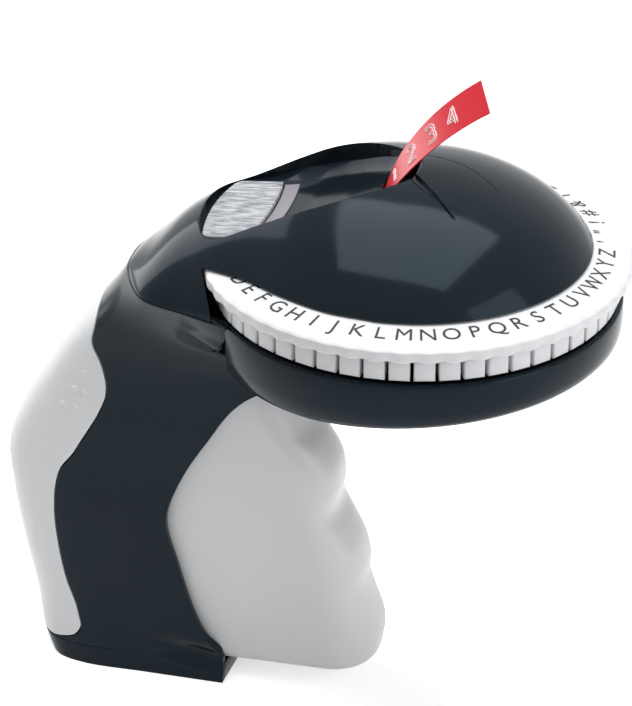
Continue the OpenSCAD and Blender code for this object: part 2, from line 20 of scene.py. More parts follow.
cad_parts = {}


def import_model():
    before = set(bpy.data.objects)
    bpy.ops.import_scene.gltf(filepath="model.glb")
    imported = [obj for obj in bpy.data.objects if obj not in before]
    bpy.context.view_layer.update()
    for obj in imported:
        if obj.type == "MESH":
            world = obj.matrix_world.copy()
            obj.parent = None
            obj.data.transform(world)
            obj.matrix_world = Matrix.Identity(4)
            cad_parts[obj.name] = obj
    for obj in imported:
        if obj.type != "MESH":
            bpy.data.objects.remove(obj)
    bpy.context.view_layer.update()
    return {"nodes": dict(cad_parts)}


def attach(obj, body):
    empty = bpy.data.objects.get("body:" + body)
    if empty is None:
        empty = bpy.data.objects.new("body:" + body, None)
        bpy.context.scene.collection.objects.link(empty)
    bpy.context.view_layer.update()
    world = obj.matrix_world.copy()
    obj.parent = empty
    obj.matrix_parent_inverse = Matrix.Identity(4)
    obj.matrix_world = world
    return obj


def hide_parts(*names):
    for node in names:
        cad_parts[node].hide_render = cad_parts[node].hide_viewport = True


MM = 0.001
LOG = logging.getLogger("label_maker")
HEAD_X = 72.0  # the wheel's axis
SEAM_Z = 112.8  # joint between handle and cover
CHARACTERS = "ABCDEFGHIJKLMNOPQRSTUVWXYZ'\"!#&1234567890.,-/+=()?%*"


class Body(str, Enum):
    """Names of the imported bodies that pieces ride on."""

    FRAME = "frame"
    DIAL = "dial"
    PUNCH = "punch"
    SQUEEZE = "squeeze"
    DOOR = "door"


# ---------------------------------------------------------------- curves


def hermite(s: np.ndarray, h: np.ndarray, ends: tuple, slopes: tuple) -> np.ndarray:
    """Cubic through two ends with two slopes.

    Args:
        s: Place between the ends, 0 to 1.
        h: Distance between their knots.
        ends: Values at the two ends.
        slopes: Slopes at the two ends.

    Returns:
        Values of the cubic.
    """
    return (
        (2 * s**3 - 3 * s**2 + 1) * ends[0]
        + (s**3 - 2 * s**2 + s) * h * slopes[0]
        + (3 * s**2 - 2 * s**3) * ends[1]
        + (s**3 - s**2) * h * slopes[1]
    )


def spline(knots: ArrayLike, values: ArrayLike, at: ArrayLike, tight: bool = False) -> np.ndarray:
    """Cubic Hermite curve through values at knots.

    Args:
        knots: Rising positions of the given values.
        values: One value, or one row of values, per knot.
        at: Positions to evaluate.
        tight: Limits the slopes so that the curve never overshoots.

    Returns:
        Values at the asked positions, shaped as at plus a value's shape.
    """
    k = np.asarray(knots, float)
    v = np.asarray(values, float)
    flat = v.ndim == 1
    if flat:
        v = v[:, None]
    t = np.clip(np.asarray(at, float), k[0], k[-1])
    if tight:
        d = np.diff(v, axis=0) / np.diff(k)[:, None]
        a, b = d[:-1], d[1:]
        same = a * b > 0
        mid = np.where(same, 2 * a * b / np.where(same, a + b, 1), 0)
        slope = np.vstack([d[:1], mid, d[-1:]])
    else:
        slope = np.gradient(v, k, axis=0)
    i = np.clip(np.searchsorted(k, t, side="right") - 1, 0, len(k) - 2)
    h = (k[i + 1] - k[i])[..., None]
    s = ((t - k[i]) / (k[i + 1] - k[i]))[..., None]
    out = hermite(s, h, (v[i], v[i + 1]), (slope[i], slope[i + 1]))
    return out[..., 0] if flat else out


def smooth(x: ArrayLike) -> np.ndarray:
    """Runs from 0 at 0 to 1 at 1 with flat ends."""
    x = np.clip(x, 0, 1)
    return x * x * (3 - 2 * x)


# ---------------------------------------------------------------- meshes


def grid_faces(rows: int, cols: int, wrap_rows: bool, wrap_cols: bool, start: int = 0) -> np.ndarray:
    """Quads of a grid of points numbered row by row from start."""
    r = np.arange(rows if wrap_rows else rows - 1)
    c = np.arange(cols if wrap_cols else cols - 1)
    rr, cc = np.meshgrid(r, c, indexing="ij")
    r2, c2 = (rr + 1) % rows, (cc + 1) % cols
    quads = np.stack([rr * cols + cc, rr * cols + c2, r2 * cols + c2, r2 * cols + cc], -1)
    return quads.reshape(-1, 4) + start


@dataclass
class Sheet:
    """Points and quads of a surface, in millimetres."""

    points: np.ndarray
    faces: np.ndarray

    @staticmethod
    def grid(p: np.ndarray, wrap_rows: bool = False, wrap_cols: bool = False, flip: bool = False) -> "Sheet":
        """Surface from an array of rows and columns of points."""
        f = grid_faces(p.shape[0], p.shape[1], wrap_rows, wrap_cols)
        return Sheet(p.reshape(-1, 3), f[:, ::-1] if flip else f)

    def __add__(self, other: "Sheet") -> "Sheet":
        """Both surfaces as one."""
        return Sheet(
            np.vstack([self.points, other.points]),
            np.vstack([self.faces, other.faces + len(self.points)]),
        )

    def mirrored(self) -> "Sheet":
        """The surface reflected in the plane of symmetry, still facing out."""
        return Sheet(self.points * [1, -1, 1], self.faces[:, ::-1])


def revolve(profile: ArrayLike, n: int, start: float = 0, stop: float = 360) -> Sheet:
    """Closed outline of radius and height, carried round the wheel's axis.

    The point at angle a is (HEAD_X + r cos a, r sin a, z). An outline that
    starts and ends on the axis is closed by its poles.
    """
    p = np.asarray(profile, float)
    full = stop - start >= 360
    poles = p[0, 0] == 0 and p[-1, 0] == 0
    a = np.radians(np.linspace(start, stop, n, endpoint=not full))[:, None]
    pts = np.stack([HEAD_X + p[:, 0] * np.cos(a), p[:, 0] * np.sin(a), p[:, 1] + 0 * a], -1)
    return Sheet.grid(pts, wrap_rows=full, wrap_cols=not poles)


def make(name: str, sheet: Sheet, angle: float = 35, merge: float = 0.0) -> bpy.types.Object:
    """Makes an object from a surface.

    Args:
        name: Name of the piece.
        sheet: Its surface in millimetres.
        angle: Edges sharper than this stay crisp, in degrees.
        merge: Points closer than this are joined, in millimetres.

    Returns:
        The new object, at the origin.
    """
    me = bpy.data.meshes.new(name)
    me.from_pydata((sheet.points * MM).tolist(), [], sheet.faces.tolist())
    me.validate()
    if merge:
        weld(me, merge)
    me.shade_smooth()
    me.set_sharp_from_angle(angle=math.radians(angle))
    obj = bpy.data.objects.new(name, me)
    bpy.context.scene.collection.objects.link(obj)
    return obj


def weld(me: bpy.types.Mesh, reach: float) -> None:
    """Joins close points, and turns a closed form's faces outwards."""
    bm = bmesh.new()
    bm.from_mesh(me)
    bmesh.ops.remove_doubles(bm, verts=bm.verts, dist=reach * MM)
    bmesh.ops.dissolve_degenerate(bm, edges=bm.edges, dist=reach * MM * 0.5)
    if all(e.is_manifold for e in bm.edges):
        bmesh.ops.recalc_face_normals(bm, faces=bm.faces)
    bm.to_mesh(me)
    bm.free()


def settle(obj: bpy.types.Object, angle: float = 35) -> bpy.types.Object:
    """Applies an object's modifiers to its mesh."""
    deps = bpy.context.evaluated_depsgraph_get()
    me = bpy.data.meshes.new_from_object(obj.evaluated_get(deps))
    obj.modifiers.clear()
    old, obj.data = obj.data, me
    bpy.data.meshes.remove(old)
    me.shade_smooth()
    me.set_sharp_from_angle(angle=math.radians(angle))
    return obj


def carve(obj: bpy.types.Object, tool: bpy.types.Object, how: str = "DIFFERENCE") -> bpy.types.Object:
    """Cuts a tool out of an object, or joins or intersects them, and drops the tool."""
    mod = obj.modifiers.new("carve", "BOOLEAN")
    mod.operation, mod.object, mod.solver = how, tool, "MANIFOLD"
    settle(obj)
    bpy.data.objects.remove(tool)
    return obj


def face_out(obj: bpy.types.Object, inner: tuple[float, float] | None) -> None:
    """Turns a sheet's faces so that most look away from its inner side.

    Args:
        obj: The sheet.
        inner: A point inside in plan, in millimetres, or None for faces that look up.
    """
    me = obj.data
    n = len(me.polygons)
    norm, mid, area = np.zeros(n * 3), np.zeros(n * 3), np.zeros(n)
    me.polygons.foreach_get("normal", norm)
    me.polygons.foreach_get("center", mid)
    me.polygons.foreach_get("area", area)
    norm, mid = norm.reshape(-1, 3), mid.reshape(-1, 3)
    away = np.array([0, 0, 1.0]) if inner is None else (mid - [inner[0] * MM, inner[1] * MM, 0]) * [1, 1, 0]
    if (norm * away).sum(1) @ area < 0:
        me.flip_normals()


def thicken(
    obj: bpy.types.Object, mm: float, rim: float = 0.25, inner: tuple[float, float] | None = None
) -> bpy.types.Object:
    """Gives a sheet its wall inwards and rounds the wall's edges."""
    face_out(obj, inner)
    wall = obj.modifiers.new("wall", "SOLIDIFY")
    wall.thickness, wall.offset = mm * MM, -1
    wall.use_even_offset = False
    settle(obj)
    return round_edges(obj, rim) if rim else obj


def round_edges(obj: bpy.types.Object, mm: float, segments: int = 2, angle: float = 40) -> bpy.types.Object:
    """Rounds the sharp edges of a piece."""
    bev = obj.modifiers.new("edge", "BEVEL")
    bev.width, bev.segments, bev.limit_method = mm * MM, segments, "ANGLE"
    bev.angle_limit, bev.use_clamp_overlap = math.radians(angle), True
    bev.harden_normals = False
    return settle(obj, 50)


# ---------------------------------------------------------------- finishes


def linear(code: str) -> tuple[float, float, float, float]:
    """A hex sRGB colour as linear red, green, blue and alpha."""
    c = [int(code[i : i + 2], 16) / 255 for i in (1, 3, 5)]
    return (*[x / 12.92 if x <= 0.04045 else ((x + 0.055) / 1.055) ** 2.4 for x in c], 1.0)


def add(tree: bpy.types.NodeTree, kind: str, links: dict | None = None, **settings) -> bpy.types.Node:
    """Adds a node, sets its properties or input values, and links its inputs."""
    node = tree.nodes.new(kind)
    for key, value in settings.items():
        if hasattr(node, key):
            setattr(node, key, value)
        else:
            node.inputs[key.replace("_", " ")].default_value = value
    for socket, source in (links or {}).items():
        tree.links.new(source, node.inputs[socket])
    return node


@dataclass(frozen=True)
class Finish:
    """A surface finish: its name, colours and the grain of its skin."""

    name: str
    colour: str
    roughness: float
    deep: str = ""  # second colour of the slow variation
    metallic: float = 0.0
    ior: float = 1.49
    specular: float = 0.5
    tint: str = "#ffffff"  # colour of the mirror reflection
    grain_mm: float = 0.4  # size of the moulded grain
    grain: float = 0.02  # its height, in millimetres
    wear: float = 0.05  # how far the roughness wanders
    brushed: bool = False

    def material(self) -> bpy.types.Material:
        """Builds the node material."""
        mat = bpy.data.materials.get(self.name)
        if mat:
            return mat
        mat = bpy.data.materials.new(self.name)
        mat.use_nodes = True
        t = mat.node_tree
        t.nodes.clear()
        where = add(t, "ShaderNodeTexCoord").outputs["Object"]
        place = add(t, "ShaderNodeMapping", {"Vector": where})
        if self.brushed:
            place.inputs["Scale"].default_value = (1, 1, 14)
        fine = add(t, "ShaderNodeTexNoise", {"Vector": place.outputs[0]}, Scale=1000 / self.grain_mm / 4, Detail=3.0)
        slow = add(t, "ShaderNodeTexNoise", {"Vector": where}, Scale=28.0, Detail=2.0)
        tone = add(t, "ShaderNodeValToRGB", {"Fac": slow.outputs["Fac"]})
        tone.color_ramp.elements[0].color = linear(self.deep or self.colour)
        tone.color_ramp.elements[1].color = linear(self.colour)
        tone.color_ramp.elements[0].position, tone.color_ramp.elements[1].position = 0.3, 0.7
        rough = add(t, "ShaderNodeMapRange", {"Value": slow.outputs["Fac"]})
        rough.inputs["To Min"].default_value = max(0.0, self.roughness - self.wear)
        rough.inputs["To Max"].default_value = self.roughness + self.wear
        bump = add(t, "ShaderNodeBump", {"Height": fine.outputs["Fac"]}, Distance=self.grain * MM, Strength=0.5)
        b = add(
            t,
            "ShaderNodeBsdfPrincipled",
            {"Base Color": tone.outputs["Color"], "Roughness": rough.outputs[0], "Normal": bump.outputs[0]},
        )
        b.inputs["Metallic"].default_value = self.metallic
        if not self.metallic:
            b.inputs["IOR"].default_value = self.ior
        b.inputs["Specular IOR Level"].default_value = self.specular
        b.inputs["Specular Tint"].default_value = linear(self.tint)
        out = add(t, "ShaderNodeOutputMaterial", {"Surface": b.outputs[0]})
        out.is_active_output = True
        return mat


# Polished ABS: a black moulding with a clear mirror-like sheen
BLACK_ABS = Finish(
    "black_polished_abs", "#151e24", 0.12, "#12191f", grain_mm=1.6, grain=0.003, wear=0.02, specular=0.17,
    tint="#cfe6f6",
)
# Near-black matt: painted shade inside the mouldings, where light dies, and the dark seam line on the dome
SEAM_AND_SHADE_BLACK = Finish("seam_and_painted_shade_black", "#0a0b0c", 0.7, "#070808", grain_mm=0.5, grain=0.02, specular=0.2)
# Satin ABS: a pale moulding with a soft broad highlight
WHITE_ABS = Finish("white_satin_abs", "#dcdddf", 0.36, "#d8d9db", grain_mm=0.35, grain=0.012)
GREY_ABS = Finish("mauve_grey_abs", "#8a868e", 0.45, "#817d86", grain_mm=0.5, grain=0.01)
# Pad-printed ink, slightly duller than the plastic under it
INK = Finish("black_pad_print", "#17171b", 0.5, "#131316", grain_mm=0.3, grain=0.01)
# Glossy vinyl tape; pressing whitens it
RED_VINYL = Finish("red_vinyl_tape", "#d8202f", 0.28, "#d01c2b", grain_mm=0.5, grain=0.008)
PRESSED = Finish("whitened_vinyl", "#f6e2e2", 0.45, "#f0d2d4", grain_mm=0.25, grain=0.02)
STEEL = Finish("plated_steel", "#b9bbbf", 0.3, "#aeb0b5", metallic=1.0, grain_mm=0.3, grain=0.01, brushed=True)
SPRING = Finish("spring_steel", "#8f9196", 0.28, "#85878c", metallic=1.0, grain_mm=0.4, grain=0.008)
NYLON = Finish("natural_nylon", "#d6d2c4", 0.5, "#cfcabb", grain_mm=0.4, grain=0.012)
RUBBER = Finish("black_rubber", "#1c1c1d", 0.8, "#171718", grain_mm=0.4, grain=0.03, specular=0.3)


@dataclass(frozen=True)
class Frosted:
    """The one clear plastic: scratched acrylic over the window."""

    name: str = "frosted_acrylic"

    def material(self) -> bpy.types.Material:
        """Acrylic that is part clear, part milky, with faint wipe marks."""
        mat = bpy.data.materials.new(self.name)
        mat.use_nodes = True
        t = mat.node_tree
        t.nodes.clear()
        where = add(t, "ShaderNodeTexCoord").outputs["Object"]
        turned = add(t, "ShaderNodeMapping", {"Vector": where})
        turned.inputs["Rotation"].default_value = (0, 0, math.radians(35))
        turned.inputs["Scale"].default_value = (1, 5, 1)
        marks = add(t, "ShaderNodeTexNoise", {"Vector": turned.outputs[0]}, Scale=260.0, Detail=5.0)
        tone = add(t, "ShaderNodeValToRGB", {"Fac": marks.outputs["Fac"]})
        tone.color_ramp.elements[0].color = linear("#83858c")
        tone.color_ramp.elements[1].color = linear("#cfd1d6")
        tone.color_ramp.elements[0].position, tone.color_ramp.elements[1].position = 0.35, 0.68
        rough = add(t, "ShaderNodeMapRange", {"Value": marks.outputs["Fac"]})
        rough.inputs["To Min"].default_value, rough.inputs["To Max"].default_value = 0.12, 0.34
        b = add(
            t, "ShaderNodeBsdfPrincipled", {"Base Color": tone.outputs["Color"], "Roughness": rough.outputs[0]}
        )
        b.inputs["IOR"].default_value = 1.49
        b.inputs["Alpha"].default_value = 0.86
        add(t, "ShaderNodeOutputMaterial", {"Surface": b.outputs[0]})
        return mat


def dress(obj: bpy.types.Object, *finishes: Finish | Frosted) -> bpy.types.Object:
    """Gives a piece its materials in place of any it has."""
    obj.data.materials.clear()
    for finish in finishes:
        obj.data.materials.append(finish.material())
    return obj


def install(obj: bpy.types.Object, body: Body, slot: str, *nodes: str) -> bpy.types.Object:
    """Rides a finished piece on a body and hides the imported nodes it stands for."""
    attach(obj, body.value)
    if nodes:
        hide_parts(*nodes)
    LOG.info("%s: %d faces on %s", obj.name, len(obj.data.polygons), body.value)
    return obj


# ---------------------------------------------------------------- the body's skin

# Half sections of the handle from its rear centre to its front edge, by height
SECTIONS = {
    0.0: [(-23.8, 0), (-20.9, 12.6), (-11.5, 16.9), (6, 17), (26, 17)],
    4.0: [(-25.7, 0), (-22.4, 12.2), (-12.2, 16.7), (6.4, 16.9), (26, 16.9)],
    16.0: [(-28.4, 0), (-24.8, 10.5), (-15.2, 15.6), (2.5, 16.3), (19.4, 16.3)],
    32.0: [(-31.8, 0), (-28, 10.5), (-17.6, 15.6), (-1.6, 16.2), (14.1, 16)],
    46.0: [(-33.9, 0), (-30.1, 10.5), (-18.9, 15.6), (-3, 16.2), (11.2, 16)],
    58.0: [(-34.3, 0), (-30.7, 10.3), (-18, 15.4), (-1.4, 16), (15.3, 15.8)],
    70.0: [(-29.7, 0), (-25.9, 10.2), (-13.6, 15.3), (3.6, 16), (22.3, 15.8)],
    83.0: [(-21.9, 0), (-18.1, 10.3), (-5.7, 15.5), (11.5, 16.3), (31.9, 16)],
    92.0: [(-16.2, 0), (-12.5, 11), (-0.7, 16.6), (17.5, 17.5), (44.5, 16.5)],
    98.0: [(-11.7, 0), (-8.3, 11.5), (2.6, 18), (21.6, 19.4), (46, 20)],
    103.0: [(-7.6, 0), (-4.9, 11.5), (4.4, 19.2), (19, 22.4), (30.5, 28.4)],
    108.0: [(-3.9, 0), (-1.7, 11), (6.4, 21), (20, 25.6), (31.4, 30.9)],
    SEAM_Z: [(-0.8, 0), (1, 10), (8.3, 23.2), (20, 28.2), (32.6, 32.6)],
}
SECTION_U = (0.0, 0.25, 0.5, 0.75, 1.0)
SECTION_ROWS = np.array([SECTIONS[z] for z in sorted(SECTIONS)], float)


def skin(u: ArrayLike, z: ArrayLike) -> np.ndarray:
    """Point of the body's skin.

    Each height has a half section through five points; the five are splined
    in height, and then across the section with the centre mirrored, so that
    it crosses the plane of symmetry square.

    Args:
        u: 0 at the rear centre, 1 at the front edge, negative on the right.
        z: Height in millimetres.

    Returns:
        Points with a last axis of x, y, z.
    """
    u, z = np.broadcast_arrays(np.asarray(u, float), np.asarray(z, float))
    side, v = np.where(u < 0, -1.0, 1.0), np.abs(u)
    rows = spline(sorted(SECTIONS), SECTION_ROWS.reshape(len(SECTIONS), -1), z).reshape(*z.shape, 5, 2)
    pts = np.concatenate([rows[..., 1:2, :] * [1, -1], rows], -2)
    k = np.array([-SECTION_U[1], *SECTION_U])
    slope = np.gradient(pts, k, axis=-2)
    i = np.clip(np.searchsorted(k, v, side="right") - 1, 1, len(k) - 2)
    h = (k[i + 1] - k[i])[..., None]
    s = ((v - k[i]) / (k[i + 1] - k[i]))[..., None]

    def pick(a: np.ndarray, j: np.ndarray) -> np.ndarray:
        """Row j of each point's own table."""
        return np.take_along_axis(a, j[..., None, None], -2)[..., 0, :]

    xy = hermite(s, h, (pick(pts, i), pick(pts, i + 1)), (pick(slope, i), pick(slope, i + 1)))
    x, y = xy[..., 0], xy[..., 1]
    # the shallow thumb-wide hollow low on each side of the base
    y = y - 1.9 * np.exp(-(((x - 20) / 13) ** 2) - ((z - 6.8 - 0.13 * (20 - x)) / 3.1) ** 2) * (x < 40)
    return np.stack([x, side * y, z + 0 * x], -1)


def skin_u(x: float, z: float) -> float:
    """The u at which the skin reaches x at a height, found by interpolation."""
    u = np.linspace(0, 1, 400)
    return float(np.interp(x, skin(u, np.full(400, z))[:, 0], u))


@dataclass
class Handle:
    """The two handle halves with the neck and the tray."""

    wall: float = 2.2
    seam: float = 0.18  # half the dark line between mouldings
    tray_r: float = 51.0
    corner: int = 14  # where the door's outline leaves its straight foot
    door_z: tuple[float, ...] = (5.6, 5.95, 7.6, 11.7, 16, 26, 35, 47, 56, 62.4, 72, 78, 82.5, 89.4, 94)
    door_x: tuple[float, ...] = (-21, -19, -14.3, -12.3, -13.3, -16.5, -18, -18.6, -17, -12.7, -7.2, -4.4, -3.7, -5.4, -7.8)

    def door_edge(self, inset: float) -> tuple[np.ndarray, np.ndarray]:
        """The door's outline on the skin.

        Args:
            inset: How far the outline moves into the door, in millimetres.

        Returns:
            u and z of the outline from the bottom centre to the top centre.
        """
        u = [skin_u(x, z) for x, z in zip(self.door_x, self.door_z)]
        top_z = [97.5, 100.5, 102.3, 103.2]
        top_u = [u[-1] * k for k in (0.86, 0.66, 0.38, 0.0)]
        z = np.array([5.6, *self.door_z, *top_z])
        uu = np.array([0.0, *u, *top_u])
        t = np.linspace(0, len(z) - 1, 14 * (len(z) - 1) + 1)
        k = np.arange(len(z))
        zz, us = spline(k, z, t, True), spline(k, uu, t, True)
        if inset:
            du, dz = np.gradient(us), np.gradient(zz)
            span = 60.0  # millimetres that one unit of u covers
            n = np.hypot(du * span, dz) + 1e-9
            us, zz = us - dz / n * inset / span, zz + du * span / n * inset
            us = np.maximum(us, 0)
        return us, zz

    def side(self, s: float) -> Sheet:
        """One side's skin from the door's edge to the trigger's edge."""
        us, zs = self.door_edge(-self.seam)
        us, zs = us[self.corner :], zs[self.corner :]
        low = np.linspace(0, zs[0] - 0.3, 12)
        high = np.linspace(zs[-1] + 0.3, SEAM_Z - self.seam, 14)
        u0 = np.concatenate([0 * low, us, 0 * high])
        z0 = np.concatenate([low, zs, high])
        u0[11 + len(us)] = 0
        z1 = np.concatenate([low, np.interp(np.linspace(0, 1, len(zs)), [0, 1], [zs[0], zs[-1]]), high])
        c = np.linspace(0, 1, 46)[None, :]
        c = c * 0.6 + 0.4 * smooth(c)
        # rows run level at the front edge and follow the door's outline at the rear
        u = u0[:, None] + (1 - u0[:, None]) * c
        z = z0[:, None] + (z1 - z0)[:, None] * smooth(c)
        p = skin(u, z)
        p[..., 1] = np.maximum(p[..., 1], 0)
        sheet = Sheet.grid(p, flip=True)
        return sheet if s > 0 else sheet.mirrored()

    def front(self, z0: float, z1: float, bulge: float) -> Sheet:
        """A wall that joins the two front edges between two heights."""
        z = np.linspace(z0, z1, 14)[:, None]
        c = np.linspace(-1, 1, 15)[None, :]
        edge = skin(1.0, z)
        x = edge[..., 0] + bulge * (1 - c**2)
        return Sheet.grid(np.stack([x, c * edge[..., 1], z + 0 * c], -1))

    def build(self) -> None:
        """Makes the halves, the neck's front, the foot and the tray."""
        for s, name in ((1, "handle_half_left"), (-1, "handle_half_right")):
            obj = make(name, self.side(s), merge=0.003)
            thicken(obj, self.wall, 0.22, (5, 0))
            install(dress(obj, BLACK_ABS), Body.FRAME, "black_shell", "handle_left" if s > 0 else "handle_right")
        neck = make("neck_front", self.front(84.2, 104.5, 2.5), merge=0.02)
        install(dress(thicken(neck, self.wall, 0.25, (0, 0)), BLACK_ABS), Body.FRAME, "black_shell")
        foot = self.front(0.1, 4.7, 0.6)
        a = np.linspace(0, 1, 60)[:, None]
        c = np.linspace(-1, 1, 17)[None, :]
        edge = skin(a, np.full_like(a, 0.05))
        bottom = np.stack([edge[..., 0] + 0 * c, c * np.maximum(edge[..., 1] - 0.3, 0), 2.2 + 0 * (a + c)], -1)
        obj = make("foot_front", foot, merge=0.02)
        install(dress(thicken(obj, self.wall, 0.25, (0, 0)), BLACK_ABS), Body.FRAME, "black_shell")
        obj = make("foot_plate", Sheet.grid(bottom), merge=0.02)
        install(dress(thicken(obj, 2.0, 0), BLACK_ABS), Body.FRAME, "black_shell")
        self.tray()

    def tray(self) -> None:
        """The tray under the wheels: a rounded rim open towards the neck, and a floor."""
        r = self.tray_r
        rim = [(r - 6, 102.8), (r - 2.6, 102.85), (r - 1.4, 103.3), (r - 0.5, 104.3), (r - 0.1, 105.8), (r, 107.5),
               (r, 111.9), (r - 0.2, 112.6), (r - 0.6, 112.85), (r - 1.5, 112.85), (r - 1.8, 112.4), (r - 1.8, 104.9),
               (r - 4, 104.9), (r - 6, 104.9)]
        ring = revolve(rim[::-1], 240, -141, 141)
        last = len(ring.points) - len(rim)
        ends = [[k, k + 1, len(rim) - 2 - k, len(rim) - 1 - k] for k in range(len(rim) // 2 - 1)]
        caps = np.array(ends + [[last + k for k in quad[::-1]] for quad in ends])
        ring = Sheet(ring.points, np.vstack([ring.faces, caps]))
        z = ring.points[:, 2]
        ring.points[:, 2] = z - self.under(ring.points[:, 0]) * smooth((107.6 - z) / 4.4)
        obj = make("tray_rim", ring, 40)
        install(dress(obj, BLACK_ABS), Body.FRAME, "black_shell")
        a = np.linspace(-math.pi, math.pi, 180)
        reach = np.minimum(r - 5.8, 27.5 / np.maximum(-np.cos(a), 0.01))
        rr = np.stack([np.full_like(a, 3.2), reach], 0)
        top = np.stack([HEAD_X + rr * np.cos(a), rr * np.sin(a), 104.8 + 0 * rr], -1)
        low = top - np.stack([0 * rr, 0 * rr, 2.0 + self.under(top[..., 0])], -1)
        floor = np.concatenate([top, low[::-1]], 0)
        obj = make("tray_floor", Sheet.grid(floor, wrap_rows=True), merge=0.02)
        install(dress(obj, BLACK_ABS), Body.FRAME, "black_shell")

    def under(self, x: ArrayLike) -> np.ndarray:
        """How far the tray's sloping underside lies below its shallow front end."""
        return np.clip(3.1 * (1 - (x - HEAD_X) / self.tray_r), 0, 4.0)


@dataclass
class Screws:
    """The door's pin, and the case screws in the left half, sockets outwards."""

    at: tuple[tuple[float, float], ...] = ((-3.0, 8.0), (-0.5, 73.0), (-1.0, 101.0))

    def build(self) -> None:
        """Turns each outline of radius and depth about its own axis."""
        rod = np.array([(0, 2.6), (0.45, 2.6), (0.6, 2.4), (0.6, -2.4), (0.45, -2.6), (0, -2.6)])
        turn = np.linspace(0, 2 * math.pi, 24, endpoint=False)[:, None]
        p = np.stack([rod[:, 0] * np.cos(turn) - 25.6, rod[:, 1] + 0 * turn, rod[:, 0] * np.sin(turn) + 8.2], -1)
        pin = make("hinge_pin", Sheet.grid(p, wrap_rows=True), 40, merge=0.001)
        install(dress(pin, STEEL), Body.FRAME, "steel", "door_pin")
        line = np.array(
            [(0, -1.3), (1.0, -1.3), (1.05, -0.1), (2.1, 0), (2.4, -0.25), (2.4, -1.4), (1.25, -1.7), (1.25, -24), (0, -24)]
        )
        a = np.linspace(0, 2 * math.pi, 36, endpoint=False)[:, None]
        out: Sheet | None = None
        for x, z in self.at:
            y = float(skin(skin_u(x, z), z)[1]) + 0.12
            p = np.stack([x + line[:, 0] * np.cos(a), y + line[:, 1] + 0 * a, z + line[:, 0] * np.sin(a)], -1)
            one = Sheet.grid(p, wrap_rows=True)
            out = one if out is None else out + one
        obj = make("case_screws", out, 40, merge=0.001)
        install(dress(obj, STEEL), Body.FRAME, "steel", "handle_screws")


@dataclass
class Door:
    """The tape door at the back of the handle, with its five grip dots."""

    handle: Handle
    wall: float = 2.2
    dot_r: float = 0.95
    dots: tuple[tuple[float, float], ...] = ((-9.7, 84.8), (-12.8, 79.7), (-9.9, 79.6), (-16.1, 74.9), (-12.6, 74.9))

    def build(self) -> None:
        """Makes the door's skin with its dots raised in it."""
        us, zs = self.handle.door_edge(self.handle.seam)
        us, zs = us[self.handle.corner :], zs[self.handle.corner :]
        us[-1] = 0
        c = np.linspace(-1, 1, 61)[None, :]
        p = skin(us[:, None] * c, zs[:, None] + 0 * c)
        obj = make("door_skin", Sheet.grid(p), merge=0.003)
        thicken(obj, self.wall, 0.45, (20, 0))
        install(dress(obj, WHITE_ABS), Body.DOOR, "white_shell", "tape_door")
        domes = None
        a = np.linspace(0, 2 * math.pi, 20, endpoint=False)[None, :]
        b = np.linspace(0, math.pi / 2, 6)[:, None]
        for x, z in self.dots:
            u = skin_u(x, z)
            for s in (1, -1):
                at = skin(s * u, z)
                du = skin(s * u + 0.01, z) - skin(s * u - 0.01, z)
                dz = skin(s * u, z + 0.5) - skin(s * u, z - 0.5)
                du, dz = du / np.linalg.norm(du), dz / np.linalg.norm(dz)
                n = np.cross(du, dz)
                n = n / np.linalg.norm(n) * np.sign(n[1] * s)
                e1, e2 = du, np.cross(n, du)
                r = self.dot_r
                pt = (
                    at
                    + (r * np.cos(b) * np.cos(a))[..., None] * e1
                    + (r * np.cos(b) * np.sin(a))[..., None] * e2
                    + (0.55 * r * np.sin(b) + 0 * a - 0.15)[..., None] * n
                )
                foot = np.repeat(pt[:1].mean(1, keepdims=True), pt.shape[1], 1)
                one = Sheet.grid(np.concatenate([foot, pt]), wrap_cols=True)
                domes = one if domes is None else domes + one
        obj = make("door_dots", domes, merge=0.01)
        install(dress(obj, WHITE_ABS), Body.DOOR, "white_shell")


